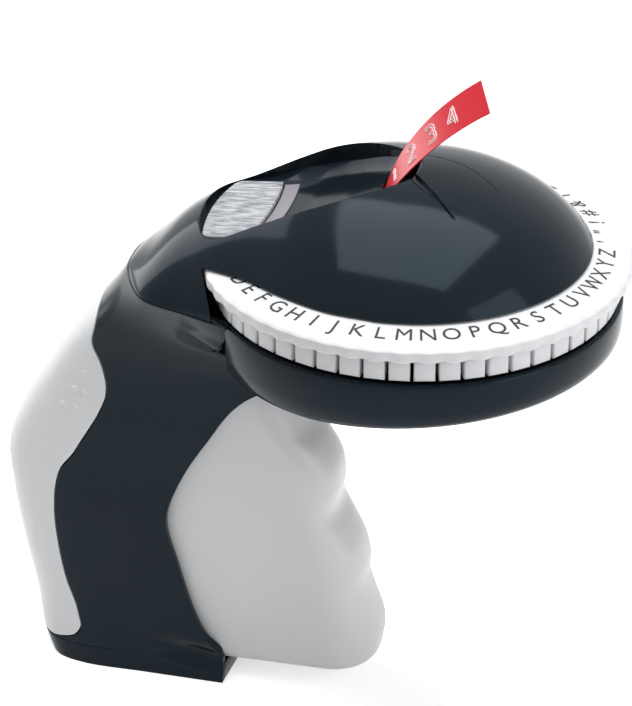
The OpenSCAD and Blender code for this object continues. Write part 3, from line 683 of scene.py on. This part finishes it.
@dataclass
class Cover:
    """The domed cover with its hollow, window and exit slot."""

    wall: float = 2.0
    top_x: tuple[float, ...] = (-0.8, 0.0, 5, 12, 20, 30, 40, 50, 60, 72)
    top_z: tuple[float, ...] = (112.8, 113.6, 118.0, 124.8, 130.7, 136.4, 140.9, 143.9, 145.2, 145.35)
    wide_x: tuple[float, ...] = (32.6, 38, 46.5, 60, 72)
    wide_y: tuple[float, ...] = (32.6, 34.8, 39.5, 45.2, 46.9)
    scoop_x: tuple[float, ...] = (18.4, 19.2, 21.2, 23.7, 26.5, 31, 36, 41, 46.2, 51.2, 56.2, 60.5, 65.5, 69.6, 72.4, 73.4)
    scoop_y: tuple[float, ...] = (0, 8.5, 14.6, 17.4, 18.7, 19.2, 19.4, 19.6, 19.4, 18.6, 17, 14.8, 11.6, 8.2, 4.4, 0)
    floor_x: tuple[float, ...] = (10, 20, 34, 44, 54, 62, 70, 80)
    floor_z: tuple[float, ...] = (127.0, 127.2, 128.7, 131.2, 134.8, 138.2, 142.0, 146)

    slot: tuple[tuple[float, ...], ...] = ((62.8, -5.6, 128), (71.6, 6.4, 170))
    window: tuple[tuple[float, ...], ...] = ((23, -12.0, 118), (33.0, 12.0, 133))
    # room for the turning dial: radius and height from the wheel's axis
    clearance: tuple[tuple[float, float], ...] = (
        (0.0, 100),
        (53.6, 100),
        (53.6, 123.4),
        (52.9, 124.0),
        (41.1, 125.75),
        (0.0, 125.75),
    )

    def width(self, x: ArrayLike) -> np.ndarray:
        """Half width of the cover at the seam, following the body's own section."""
        s = skin(np.linspace(0, 1, 200), np.full(200, SEAM_Z))
        xs = np.concatenate([s[:, 0], self.wide_x[1:]])
        ys = np.concatenate([s[:, 1], self.wide_y[1:]])
        tail = spline([28, 32.6, *self.wide_x[1:]], [np.interp(28, s[:, 0], s[:, 1]), 32.6, *self.wide_y[1:]], x)
        return np.where(np.asarray(x) < 31, np.interp(x, xs, ys), tail)

    def height(self, x: ArrayLike, y: ArrayLike, inset: float = 0.0) -> np.ndarray:
        """Height of the cover's top.

        Behind the axis it is z = seam + rise(x) (1 - (y / w(x))^2)^p, where p
        falls to that of an ellipse, and in front of it the section at the axis
        is turned about the axis.
        """
        x, y = np.broadcast_arrays(np.asarray(x, float), np.asarray(y, float))
        back = np.minimum(x, HEAD_X)
        across = np.where(x > HEAD_X, np.hypot(x - HEAD_X, y), np.abs(y))
        w = np.maximum(self.width(np.clip(back, -0.8, HEAD_X)) - inset, 0.05)
        rise = np.maximum(spline(self.top_x, self.top_z, back) - SEAM_Z - inset, 0)
        power = 0.62 - 0.11 * smooth((back - 18) / 30)
        return SEAM_Z + rise * np.clip(1 - (across / w) ** 2, 0, 1) ** power

    def solid(self, name: str, inset: float, base: float) -> bpy.types.Object:
        """The cover's outer or inner form as a closed solid.

        The boundary at the seam is a curve about the axis, and each ray from
        the axis to it is sampled as sin(s), which packs points at the rim.
        """
        u = np.linspace(0, 1, 90)
        rear = skin(u, np.full(90, SEAM_Z))[:, :2]
        x = np.linspace(32.6, HEAD_X, 50)[1:]
        mid = np.stack([x, self.width(x)], -1)
        a = np.linspace(math.pi / 2, 0, 50)[1:]
        arc = np.stack([HEAD_X + 46.9 * np.cos(a), 46.9 * np.sin(a)], -1)
        half = np.vstack([rear, mid, arc])
        if inset:
            axis = np.array([HEAD_X, 0])
            d = half - axis
            half = axis + d * (1 - inset / np.hypot(*d.T))[:, None]
        edge = np.vstack([half, half[-2:0:-1] * [1, -1]])
        s = np.sin(np.linspace(0, 1, 70) * math.pi / 2)[:, None]
        x = HEAD_X + (edge[:, 0] - HEAD_X) * s
        y = edge[:, 1] * s
        z = self.height(x, y, inset)
        z[-1] = SEAM_Z
        z = np.maximum(z, base + 0.05)
        top = np.stack([x, y, z], -1)[1:]
        centre = np.array([[HEAD_X, 0, float(self.height(HEAD_X, 0, inset))]])
        foot = top[-1:] * [1, 1, 0] + [0, 0, base]
        grid = Sheet.grid(np.concatenate([top, foot], 0), wrap_cols=True)
        n, rows = len(edge), len(top) + 1
        pts = np.vstack([grid.points, centre, [[HEAD_X, 0, base]]])
        c = np.arange(n)
        tri = [[int(rows * n), int((k + 1) % n), int(k)] for k in c]
        low = [[int(rows * n + 1), int((rows - 1) * n + k), int((rows - 1) * n + (k + 1) % n)] for k in c]
        me = bpy.data.meshes.new(name)
        me.from_pydata((pts * MM).tolist(), [], grid.faces.tolist() + tri + low)
        me.validate()
        weld(me, 0.01)
        obj = bpy.data.objects.new(name, me)
        bpy.context.scene.collection.objects.link(obj)
        return obj

    def scoop_tool(self, grow: float, drop: float) -> bpy.types.Object:
        """The teardrop hollow as a closed solid, grown and sunk to make its lining."""
        n = 90
        k = 0.5 - 0.5 * np.cos(np.linspace(0, math.pi, n))
        x0, x1 = self.scoop_x[0], self.scoop_x[-1]
        x = x0 + (x1 - x0) * k
        y = spline(self.scoop_x, self.scoop_y, x, True)
        rim = np.vstack([np.stack([x, y], -1), np.stack([x, -y], -1)[-2:0:-1]])
        centre = np.stack([np.clip(rim[:, 0], 34, 62), 0 * rim[:, 1]], -1)
        d = rim - centre
        rim = rim + d / np.maximum(np.hypot(*d.T), 0.5)[:, None] * grow
        s = np.concatenate([np.linspace(0, 0.9, 10), [0.95, 0.985, 1.0]])[:, None]
        px = centre[:, 0] + (rim[:, 0] - centre[:, 0]) * s
        py = centre[:, 1] + (rim[:, 1] - centre[:, 1]) * s
        pz = np.interp(px, self.floor_x, self.floor_z) - drop
        pz = pz + 2.6 * np.clip((s - 0.55) / 0.45, 0, 1) ** 2.2 * smooth((px - 26) / 14)
        low = np.stack([px, py, pz], -1)
        high = low[-1:] * [1, 1, 0] + [0, 0, 165]
        lid = np.stack([centre[:, 0], centre[:, 1], np.full(len(rim), 165.0)], -1)[None]
        sheet = Sheet.grid(np.concatenate([low, high, lid], 0), wrap_cols=True)
        return make("scoop_tool", sheet, merge=0.02)

    def block(self, lo: ArrayLike, hi: ArrayLike) -> bpy.types.Object:
        """A box between two corners, as a cutting tool."""
        lo, hi = np.array(lo, float), np.array(hi, float)
        c = np.array([[i, j, k] for i in (0, 1) for j in (0, 1) for k in (0, 1)])
        f = np.array([[0, 1, 3, 2], [4, 6, 7, 5], [0, 4, 5, 1], [2, 3, 7, 6], [0, 2, 6, 4], [1, 5, 7, 3]])
        return make("block", Sheet(lo + c * (hi - lo), f), merge=0.001)

    def build(self) -> None:
        """Makes the shell, the lens and the marks round the exit."""
        shell = self.solid("top_shell", 0, SEAM_Z + 0.2)
        void = self.solid("void", self.wall, SEAM_Z - 3)
        carve(void, self.scoop_tool(self.wall, self.wall))
        carve(shell, void)
        carve(shell, self.scoop_tool(0, 0))
        carve(shell, make("clear", revolve(self.clearance, 160), merge=0.01))
        carve(shell, self.block(*self.slot))
        carve(shell, self.block(*self.window))
        carve(shell, make("wedge", self.groove_tool(), merge=0.001))
        install(dress(round_edges(shell, 0.22), BLACK_ABS), Body.FRAME, "black_shell", "top_cover")
        self.lens()

    def groove_tool(self) -> Sheet:
        """A tapering notch that runs out from the slot over the dome."""
        k = np.linspace(0, 1, 24)[:, None]
        mid = np.array([70.6, -3.2]) + k * np.array([14.6, -14.2])
        side = np.array([14.2, 14.6]) / math.hypot(14.2, 14.6) * (1.25 * (1 - k) + 0.08)
        a, b = mid - side, mid + side
        z = self.height(mid[:, 0], mid[:, 1])
        deep = z - 0.75
        rows = [
            np.column_stack([a, deep]),
            np.column_stack([b, deep]),
            np.column_stack([b, z + 1]),
            np.column_stack([a, z + 1]),
        ]
        p = np.stack(rows, 1)
        sheet = Sheet.grid(p, wrap_cols=True)
        n = len(p) * 4
        ends = np.array([[3, 2, 1, 0], [n - 4, n - 3, n - 2, n - 1]])
        return Sheet(sheet.points, np.vstack([sheet.faces, ends]))

    def lens(self) -> None:
        """The window's lens: a crowned patch that follows the hollow's floor."""
        x = np.linspace(0, 1, 30)[:, None]
        v = np.linspace(-1, 1, 31)[None, :]
        px = 21.6 + 12.2 * x - 1.6 * (1 - v**2) * (1 - x) + 1.4 * x * (1 - v**2)
        half = spline(self.scoop_x, self.scoop_y, np.clip(21.6 + 12 * x, 18.5, 72), True) - 0.7
        py = v * np.minimum(half, 16.0)
        pz = np.interp(px, self.floor_x, self.floor_z) + 0.75 + 0.5 * (1 - v**2) + 0 * x
        obj = make("window_pane", Sheet.grid(np.stack([px, py, pz], -1)))
        thicken(obj, 1.2, 0.2)
        install(dress(obj, Frosted()), Body.FRAME, "lens", "window_lens")
        px2 = 34.4 + 3.8 * x + 1.4 * (1 - v**2)
        py2 = v * (spline(self.scoop_x, self.scoop_y, px2, True) - 3.6)
        pz2 = np.interp(px2, self.floor_x, self.floor_z) + 0.35 + 0 * v
        bar = make("window_bar", Sheet.grid(np.stack([px2, py2, pz2], -1)))
        thicken(bar, 0.6, 0.1)
        install(dress(bar, GREY_ABS), Body.FRAME, "lens")
        # a fine moulding line that crosses the dome in front of the slot
        k = np.linspace(0, 1, 60)[:, None]
        lx = spline([0, 0.25, 0.55, 0.8, 1], [72.0, 76.8, 83.6, 89.6, 92.7], k[:, 0])[:, None]
        ly = spline([0, 0.25, 0.55, 0.8, 1], [8.8, 8.0, 5.6, 1.3, -1.4], k[:, 0])[:, None]
        w = np.array([[-0.16, 0.16]])
        pts = np.stack([lx + 0 * w, ly + w, self.height(lx, ly) + 0.03 + 0 * w], -1)
        line = make("dome_line", Sheet.grid(pts, flip=True))
        thicken(line, 0.25, 0)
        install(dress(line, SEAM_AND_SHADE_BLACK), Body.FRAME, "black_shell")


@dataclass
class Dial:
    """The turning character dial: a scalloped band, a cone and its printed characters."""

    around: int = 1092
    teeth: int = 84
    places: int = 52
    first: float = -163.0  # where the first character stands, in degrees

    def band(self) -> Sheet:
        """The dial's ring.

        The profile is turned about the axis; the band's radius swells by a
        cosine at each place, and the ring gear's bore follows a clipped wave.
        """
        a = np.linspace(0, 2 * math.pi, self.around, endpoint=False)[:, None]
        bulge = 0.5 + 0.5 * np.cos(self.places * (a - math.radians(self.first)))
        wave = np.clip(np.cos(self.teeth * a) * 1.6, -1, 1) * 0.5 + 0.5
        prof = [
            (38.05, 123.2, 0, 0, 0), (38.05, 125.1, 0, 0, 0), (38.3, 125.3, 0, 0, 0), (40.6, 125.3, 0, 0, 0),
            (44.0, 124.72, 0, 0, 0), (48.0, 124.02, 0, 0, 0), (51.6, 123.3, 0, 0, 0), (52.3, 123.05, 0.1, 0, 0),
            (52.7, 122.6, 0.2, 0, 0), (52.8, 122.0, 0.26, 0, 0), (52.75, 121.0, 0.32, 0, 0),
            (52.65, 120.5, 0.34, -0.15, 0), (52.4, 120.2, 0.32, -0.35, 0), (52.0, 120.1, 0.2, -0.3, 0),
            (50.9, 120.1, 0.0, -0.2, 0), (50.5, 120.5, 0, 0, 0), (50.5, 121.3, 0, 0, 0), (43.9, 121.3, 0, 0, 0),
            (43.0, 121.2, 0, 0, -1.5), (43.0, 123.15, 0, 0, -1.5),
        ]
        q = np.array(prof)
        r = q[:, 0] + q[:, 2] * bulge + q[:, 4] * wave
        z = q[:, 1] + q[:, 3] * bulge
        p = np.stack([HEAD_X + r * np.cos(a), r * np.sin(a), z], -1)
        return Sheet.grid(p, wrap_rows=True, wrap_cols=True)

    @staticmethod
    def cone_z(r: ArrayLike) -> np.ndarray:
        """Height of the printed cone at a radius."""
        return np.interp(r, [40.6, 44.0, 48.0, 51.6], [125.3, 124.72, 124.02, 123.3])

    def print_on(self) -> bpy.types.Object:
        """The characters, each laid on the cone with its top towards the axis."""
        verts: list[np.ndarray] = []
        faces: list[list[int]] = []
        total = 0
        for i, ch in enumerate(CHARACTERS):
            curve = bpy.data.curves.new("ch", "FONT")
            curve.body, curve.size, curve.align_x, curve.align_y = ch, 6.1, "CENTER", "TOP_BASELINE"
            curve.extrude, curve.resolution_u = 0.05, 3
            tmp = bpy.data.objects.new("ch", curve)
            bpy.context.scene.collection.objects.link(tmp)
            deps = bpy.context.evaluated_depsgraph_get()
            me = bpy.data.meshes.new_from_object(tmp.evaluated_get(deps))
            co = np.zeros(len(me.vertices) * 3)
            me.vertices.foreach_get("co", co)
            co = co.reshape(-1, 3)
            ang = math.radians(self.first + 360 / self.places * i)
            # across the letter runs along the ring, up the letter runs inwards
            r = 48.5 - co[:, 1]
            th = ang + co[:, 0] * 0.97 / 46.4
            z = self.cone_z(r) + co[:, 2] + 0.03
            verts.append(np.stack([HEAD_X + r * np.cos(th), r * np.sin(th), z], -1))
            faces += [[v + total for v in p.vertices] for p in me.polygons]
            total += len(co)
            bpy.data.objects.remove(tmp)
            bpy.data.curves.remove(curve)
            bpy.data.meshes.remove(me)
        me = bpy.data.meshes.new("dial_print")
        me.from_pydata((np.vstack(verts) * MM).tolist(), [], faces)
        obj = bpy.data.objects.new("dial_print", me)
        bpy.context.scene.collection.objects.link(obj)
        return obj

    def build(self) -> None:
        """Makes the ring and its print."""
        ring = make("dial_ring", self.band(), 32)
        install(dress(ring, WHITE_ABS), Body.DIAL, "white_shell", "letter_dial")
        install(dress(self.print_on(), INK), Body.DIAL, "white_shell")


@dataclass
class PunchWheel:
    """The wheel of punch blocks under the dial."""

    places: int = 52
    gap: float = 0.85
    outer: float = 50.0
    inner: float = 44.6
    first: float = -164.0  # where a block's middle stands, in degrees
    low: float = 113.55
    high: float = 119.1

    def blocks(self) -> Sheet:
        """Every block as a rounded box bent round the axis.

        A block is a loft of five outlines inwards; its corners are rounded by
        drawing the first and last outlines in.
        """
        step = 2 * math.pi / self.places
        half = step / 2 - self.gap / 2 / self.outer
        out: Sheet | None = None
        # each ring of the loft: radius and how far the outline is drawn in
        loft = [(self.outer, 0.55), (self.outer - 0.12, 0.25), (self.outer - 0.4, 0.06), (self.outer - 0.8, 0), (self.inner, 0)]
        corner = [(-1, -1), (1, -1), (1, 1), (-1, 1)]
        mid, tall = (self.low + self.high) / 2, (self.high - self.low) / 2
        for i in range(self.places):
            a0 = step * i + math.radians(self.first)
            rows = []
            for r, d in loft:
                ring = []
                for sx, sz in corner:
                    ring.append((r, a0 + sx * (half - d / r), mid + sz * (tall - d)))
                rows.append(ring)
            q = np.array(rows)
            p = np.stack([HEAD_X + q[..., 0] * np.cos(q[..., 1]), q[..., 0] * np.sin(q[..., 1]), q[..., 2]], -1)
            one = Sheet.grid(p, wrap_cols=True)
            one = Sheet(one.points, np.vstack([one.faces, [[3, 2, 1, 0]], [[16, 17, 18, 19]]]))
            out = one if out is None else out + one
        return out

    def build(self) -> None:
        """Makes the blocks and the wheel that carries them, near-black as painted shade behind the gaps."""
        obj = make("punch_blocks", self.blocks(), 50, merge=0.0001)
        install(dress(obj, WHITE_ABS), Body.PUNCH, "white_shell", "punch_wheel")
        cup = [(5.1, 106.6), (44.5, 106.6), (44.5, 113.2), (44.9, 113.4), (44.9, 119.0), (43.3, 119.0), (43.3, 108.3),
               (9.0, 108.2), (9.0, 112.1), (5.1, 112.1)]
        # the cup is coloured near-black: painted shade seen through the gaps between the blocks
        obj = make("punch_cup", revolve(cup, 180), 40)
        install(dress(obj, SEAM_AND_SHADE_BLACK), Body.PUNCH, "white_shell")


@dataclass
class Trigger:
    """The squeeze trigger with its finger rolls."""

    front_z: tuple[float, ...] = (3.6, 4.8, 9.8, 15.9, 21.6, 27.3, 33.3, 39, 43, 48.4, 55.8, 61.5, 66.9, 71.7, 76, 80, 84, 88)
    front_x: tuple[float, ...] = (60.4, 62.0, 64.0, 64.2, 62.0, 60.1, 60.4, 58.8, 56.4, 52.9, 53.7, 52.9, 49.6, 45.2, 43.0, 41.2, 38.6, 35.0)
    smooth_z: tuple[float, ...] = (3.6, 20, 43, 60, 76, 88)
    smooth_x: tuple[float, ...] = (62.4, 61.6, 57.0, 52.3, 43.4, 35.4)
    rear_z: tuple[float, ...] = (4.8, 6.5, 16, 30, 42, 50, 63, 72, 81, 88)
    rear_x: tuple[float, ...] = (27, 22, 18, 13, 8.5, 8, 14, 20, 28, 31)
    half: float = 13.35
    nose: float = 11.5  # depth of the rounded nose
    foot_r: float = 2.6
    foot_z: float = 4.9

    def build(self) -> None:
        """Lofts level sections of the trigger.

        A section is two flat sides that meet in a superellipse nose, with
        x = xs - a + a cos^p, y = w sin^p; the finger rolls move the nose by
        the rest of the front's outline, most at its tip. The foot closes by
        drawing the section in on a quarter circle.
        """
        curve = 1 - np.cos(np.linspace(0, math.pi / 2, 8))
        z = np.concatenate([self.foot_z + self.foot_r * curve, np.linspace(7.8, 87.5, 130)])
        c = np.concatenate([np.linspace(-1, -0.5, 16)[:-1], np.linspace(-0.5, 0.5, 61), np.linspace(0.5, 1, 16)[1:]])
        xf = spline(self.front_z, self.front_x, z)[:, None]
        xr = spline(self.rear_z, self.rear_x, z, True)[:, None]
        r, top = self.foot_r, self.foot_z + self.foot_r
        d = np.where(z < top, r - np.sqrt(np.maximum(r**2 - (top - z) ** 2, 0)), 0)[:, None]
        xs = spline(self.smooth_z, self.smooth_x, z)[:, None] - d
        w = self.half - d
        a = self.nose
        ph = np.clip(c / 0.5, -1, 1) * math.pi / 2
        p = 2 / 2.5
        nose_x = np.abs(np.cos(ph)) ** p
        nose_y = np.sign(ph) * np.abs(np.sin(ph)) ** p
        straight = np.clip((np.abs(c) - 0.5) / 0.5, 0, 1)[None, :]
        roll = (xf - d - xs) * nose_x**2.2
        x = (xs - a) - (xs - a - xr) * straight + (a * nose_x + roll) * (straight == 0)
        y = nose_y * w * (0.955 + 0.045 * straight)
        pts = np.stack([x, y, z[:, None] + 0 * x], -1)
        # the foot plate closes on the section's own middle line
        foot = pts[0].copy()
        foot[:, 1] = 0
        pts = np.concatenate([foot[None], pts], 0)
        obj = make("trigger_grip", Sheet.grid(pts), 40, merge=0.01)
        thicken(obj, 2.2, 0.2, (30, 0))
        install(dress(obj, WHITE_ABS), Body.SQUEEZE, "white_shell", "trigger")


@dataclass
class Label:
    """The embossed strip that leaves the dome."""

    width: float = 9.0
    thick: float = 0.3
    bend_r: float = 33.7
    start_x: float = 34.0
    tape_z: float = 119.45
    free: float = 36.8
    slope: float = 64.0
    curl: float = 30.0
    turn: float = 48.0

    def frame_at(self, t: ArrayLike) -> tuple[np.ndarray, np.ndarray, np.ndarray]:
        """Centre, crosswise and outward directions of the strip at t.

        t runs 0 to 1 round the bend, and to 2 over the free end, which leans
        over and turns its face aside as it goes.
        """
        t = np.asarray(t, float)
        s = np.radians(self.slope)
        b = s * np.minimum(t, 1)
        far = np.maximum(t - 1, 0)
        lean = s - np.radians(self.curl) * far / 2
        x = self.start_x + self.bend_r * np.sin(b) + far * self.free * np.cos(lean)
        z = self.tape_z + self.bend_r * (1 - np.cos(b)) + far * self.free * np.sin(lean)
        a = np.where(t < 1, s * t, s - np.radians(self.curl) * far)
        w = np.radians(self.turn) * (np.maximum(0, t - 0.93) / 1.07) ** 0.6
        up = np.stack([-np.sin(a), 0 * a, np.cos(a)], -1)
        side = np.stack([0 * a, 1 + 0 * a, 0 * a], -1)
        cw, sw = np.cos(w)[..., None], np.sin(w)[..., None]
        across = side * cw + up * sw
        out = up * cw - side * sw
        return np.stack([x, 0 * x, z], -1), across, out

    def on(self, t: ArrayLike, v: ArrayLike, lift: ArrayLike) -> np.ndarray:
        """Point at t along the strip, v millimetres across it and lift above its underside."""
        c, across, out = self.frame_at(t)
        return c + np.asarray(v, float)[..., None] * across + np.asarray(lift, float)[..., None] * out

    def build(self) -> None:
        """Makes the strip and the whitened digits pressed into it."""
        t = np.linspace(0.02, 2, 130)[:, None]
        ring = [(-1, 0), (1, 0), (1, 1), (-1, 1)]
        rows = [self.on(t[:, 0], np.full(130, q * self.width / 2), np.full(130, h * self.thick)) for q, h in ring]
        p = np.stack(rows, 1)
        n = len(p) * 4
        sheet = Sheet.grid(p, wrap_cols=True)
        sheet = Sheet(sheet.points, np.vstack([sheet.faces, [[3, 2, 1, 0]], [[n - 4, n - 3, n - 2, n - 1]]]))
        obj = make("label_tape", sheet, 30, merge=0.0001)
        install(dress(obj, RED_VINYL), Body.FRAME, "red_tape", "label_strip")
        self.digits()

    def digits(self) -> None:
        """Raised outlines of plain digits along the strip."""
        shapes = {
            "1": [(0.28, 0.8), (0.52, 1.0), (0.52, 0.0)],
            "2": [(0.05, 0.8), (0.25, 1.0), (0.75, 1.0), (0.95, 0.8), (0.95, 0.62), (0.05, 0.0), (0.98, 0.0)],
            "3": [(0.05, 0.9), (0.25, 1.0), (0.75, 1.0), (0.93, 0.85), (0.93, 0.62), (0.75, 0.52), (0.45, 0.52),
                  (0.75, 0.52), (0.95, 0.4), (0.95, 0.15), (0.75, 0.0), (0.25, 0.0), (0.05, 0.12)],
            "4": [(0.75, 0.0), (0.75, 1.0), (0.05, 0.3), (1.0, 0.3)],
        }
        # where each digit's middle stands along the strip
        along = {"1": 1.13, "2": 1.33, "3": 1.53, "4": 1.73}
        both: Sheet | None = None
        for ch, t0 in along.items():
            line = (np.array(shapes[ch]) - 0.5) * [3.1, 4.6]
            for shift in (-0.34, 0.34):
                path = self.offset(line, shift)
                seg = self.tube(path, t0)
                both = seg if both is None else both + seg
        obj = make("label_digits", both, 60)
        install(dress(obj, PRESSED), Body.FRAME, "red_tape")

    @staticmethod
    def offset(line: np.ndarray, shift: float) -> np.ndarray:
        """A polyline resampled and moved sideways by shift."""
        seg = np.hypot(*np.diff(line, axis=0).T)
        k = np.concatenate([[0], np.cumsum(seg)])
        s = np.linspace(0, k[-1], max(12, int(k[-1] / 0.22)))
        p = np.stack([np.interp(s, k, line[:, 0]), np.interp(s, k, line[:, 1])], -1)
        d = np.gradient(p, axis=0)
        d = d / np.maximum(np.hypot(*d.T), 1e-6)[:, None]
        return p + np.stack([-d[:, 1], d[:, 0]], -1) * shift

    def tube(self, path: np.ndarray, t0: float) -> Sheet:
        """A raised bead along a path drawn on the strip's face."""
        d = np.gradient(path, axis=0)
        d = d / np.maximum(np.hypot(*d.T), 1e-6)[:, None]
        side = np.stack([-d[:, 1], d[:, 0]], -1)
        rows = []
        full = np.ones(len(path))
        full[0] = full[-1] = 0.02
        for ang in np.linspace(0, 2 * math.pi, 8, endpoint=False):
            q = path + side * (0.17 * math.cos(ang) * full)[:, None]
            lift = self.thick - 0.02 + 0.22 * max(math.sin(ang), -0.4) * full
            rows.append(self.on(t0 + q[:, 0] / self.free, q[:, 1], lift))
        bead = Sheet.grid(np.stack(rows, 1), wrap_cols=True, flip=True)
        n = len(bead.points)
        ends = np.array([[0, 1, 2, 3], [0, 3, 4, 7], [4, 5, 6, 7]])
        return Sheet(bead.points, np.vstack([bead.faces, ends, (ends + n - 8)[:, ::-1]]))


def dress_inside(nodes: dict) -> None:
    """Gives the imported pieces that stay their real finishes."""
    table = {
        STEEL: ("cheek_left", "cheek_right", "wheel_axle", "centre_bolt", "pinion_axle", "trigger_pin", "feed_axle",
                "pinch_axle", "retainer_screws", "trigger_lever", "lever_rivets",
                "hammer", "cutter_blade"),
        SPRING: ("detent_spring", "trigger_spring", "cutter_spring"),
        NYLON: ("dial_retainer", "hammer_guide", "tape_guide", "roll_spindle", "die_ring", "sync_pinion",
                "feed_pinion", "pinch_roller", "roll_spool"),
        # the exit chute is near-black as painted shade inside the exit slot
        SEAM_AND_SHADE_BLACK: ("exit_chute",),
        RUBBER: ("feed_roller",),
        RED_VINYL: ("supply_tape", "tape_roll"),
    }
    for finish, names in table.items():
        for name in names:
            dress(nodes[name], finish)


# ---------------------------------------------------------------- the studio


@dataclass
class Studio:
    """Floor, lights and camera."""

    glow: float = 0.58  # what turns the lit floor white to the camera
    surround: float = 0.32  # the surround's strength as a light

    azimuth: float = 15.07
    elevation: float = 28.36
    distance: float = 1.0
    target: tuple[float, float, float] = (0.04645, 0.0, 0.09087)
    lens: float = 204.06

    def camera(self) -> None:
        """A long lens aimed at the object from the front right."""
        a, e = math.radians(self.azimuth), math.radians(self.elevation)
        back = Vector((math.sin(a) * math.cos(e), -math.cos(a) * math.cos(e), math.sin(e)))
        cam = bpy.data.cameras.new("camera")
        cam.lens, cam.sensor_width, cam.sensor_fit = self.lens, 36, "AUTO"
        cam.clip_start, cam.clip_end = 0.01, 50
        obj = bpy.data.objects.new("camera", cam)
        obj.location = Vector(self.target) + back * self.distance
        obj.rotation_euler = back.to_track_quat("Z", "Y").to_euler()
        bpy.context.scene.collection.objects.link(obj)
        bpy.context.scene.camera = obj

    def light(self, name: str, at: tuple[float, float, float], size: float, power: float, tall: float = 0) -> None:
        """A soft rectangular lamp aimed at the object's middle."""
        data = bpy.data.lights.new(name, "AREA")
        data.shape, data.size, data.size_y, data.energy = "RECTANGLE", size, tall or size, power
        obj = bpy.data.objects.new(name, data)
        obj.location = at
        d = Vector((0.045, 0, 0.09)) - Vector(at)
        obj.rotation_euler = d.to_track_quat("-Z", "Y").to_euler()
        bpy.context.scene.collection.objects.link(obj)

    @staticmethod
    def seen(tree: bpy.types.NodeTree, low: float, high: float) -> bpy.types.NodeSocket:
        """A strength that is high for camera, glossy and transmission rays, and low for light."""
        path = add(tree, "ShaderNodeLightPath").outputs
        first = {0: path["Is Camera Ray"], 1: path["Is Glossy Ray"]}
        either = add(tree, "ShaderNodeMath", first, operation="MAXIMUM").outputs[0]
        second = {0: either, 1: path["Is Transmission Ray"]}
        shown = add(tree, "ShaderNodeMath", second, operation="MAXIMUM").outputs[0]
        level = add(tree, "ShaderNodeMapRange", {"Value": shown})
        level.inputs["To Min"].default_value, level.inputs["To Max"].default_value = low, high
        return level.outputs[0]

    def floor(self) -> None:
        """A pale floor that turns white to the camera where no shadow falls."""
        n = 96
        a = np.linspace(0, 2 * math.pi, n, endpoint=False)[None, :]
        r = np.array([0.001, 200, 600, 6000])[:, None]
        p = np.stack([45 + r * np.cos(a), r * np.sin(a), 0 * r * a - 0.02], -1)
        obj = make("floor", Sheet.grid(p, wrap_cols=True, flip=True))
        mat = bpy.data.materials.new("white_sweep_paper")
        mat.use_nodes = True
        t = mat.node_tree
        t.nodes.clear()
        lit = add(t, "ShaderNodeBsdfDiffuse", Color=linear("#f4f4f4"))
        glow = add(t, "ShaderNodeEmission", Color=(1, 1, 1, 1))
        t.links.new(self.seen(t, 0.0, self.glow), glow.inputs["Strength"])
        both = add(t, "ShaderNodeAddShader", {0: lit.outputs[0], 1: glow.outputs[0]})
        add(t, "ShaderNodeOutputMaterial", {"Surface": both.outputs[0]})
        obj.data.materials.append(mat)

    def world(self) -> None:
        """An even pale surround."""
        w = bpy.data.worlds.new("surround")
        bpy.context.scene.world = w
        w.use_nodes = True
        t = w.node_tree
        t.nodes.clear()
        level = self.seen(t, self.surround, 1.0)
        bg = add(t, "ShaderNodeBackground", {"Strength": level}, Color=linear("#fbfcfd"))
        add(t, "ShaderNodeOutputWorld", {"Surface": bg.outputs[0]})

    def build(self) -> None:
        """Sets up the whole studio."""
        bpy.context.scene.view_settings.view_transform = "Standard"
        self.camera()
        self.floor()
        self.world()
        self.light("overhead", (0.05, 0.05, 0.75), 0.62, 5.0)
        self.light("right_side", (0.75, -0.25, 0.35), 0.45, 2.2, tall=0.7)
        self.light("left_back", (-0.65, 0.35, 0.4), 0.45, 2.4, tall=0.7)


def main() -> None:
    """Loads the frame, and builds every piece."""
    logging.basicConfig(level=logging.INFO, format="%(message)s")
    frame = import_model()
    handle = Handle()
    handle.build()
    Screws().build()
    Door(handle).build()
    Cover().build()
    Dial().build()
    PunchWheel().build()
    Trigger().build()
    Label().build()
    dress_inside(frame["nodes"])
    Studio().build()


if __name__ == "__main__":
    main()
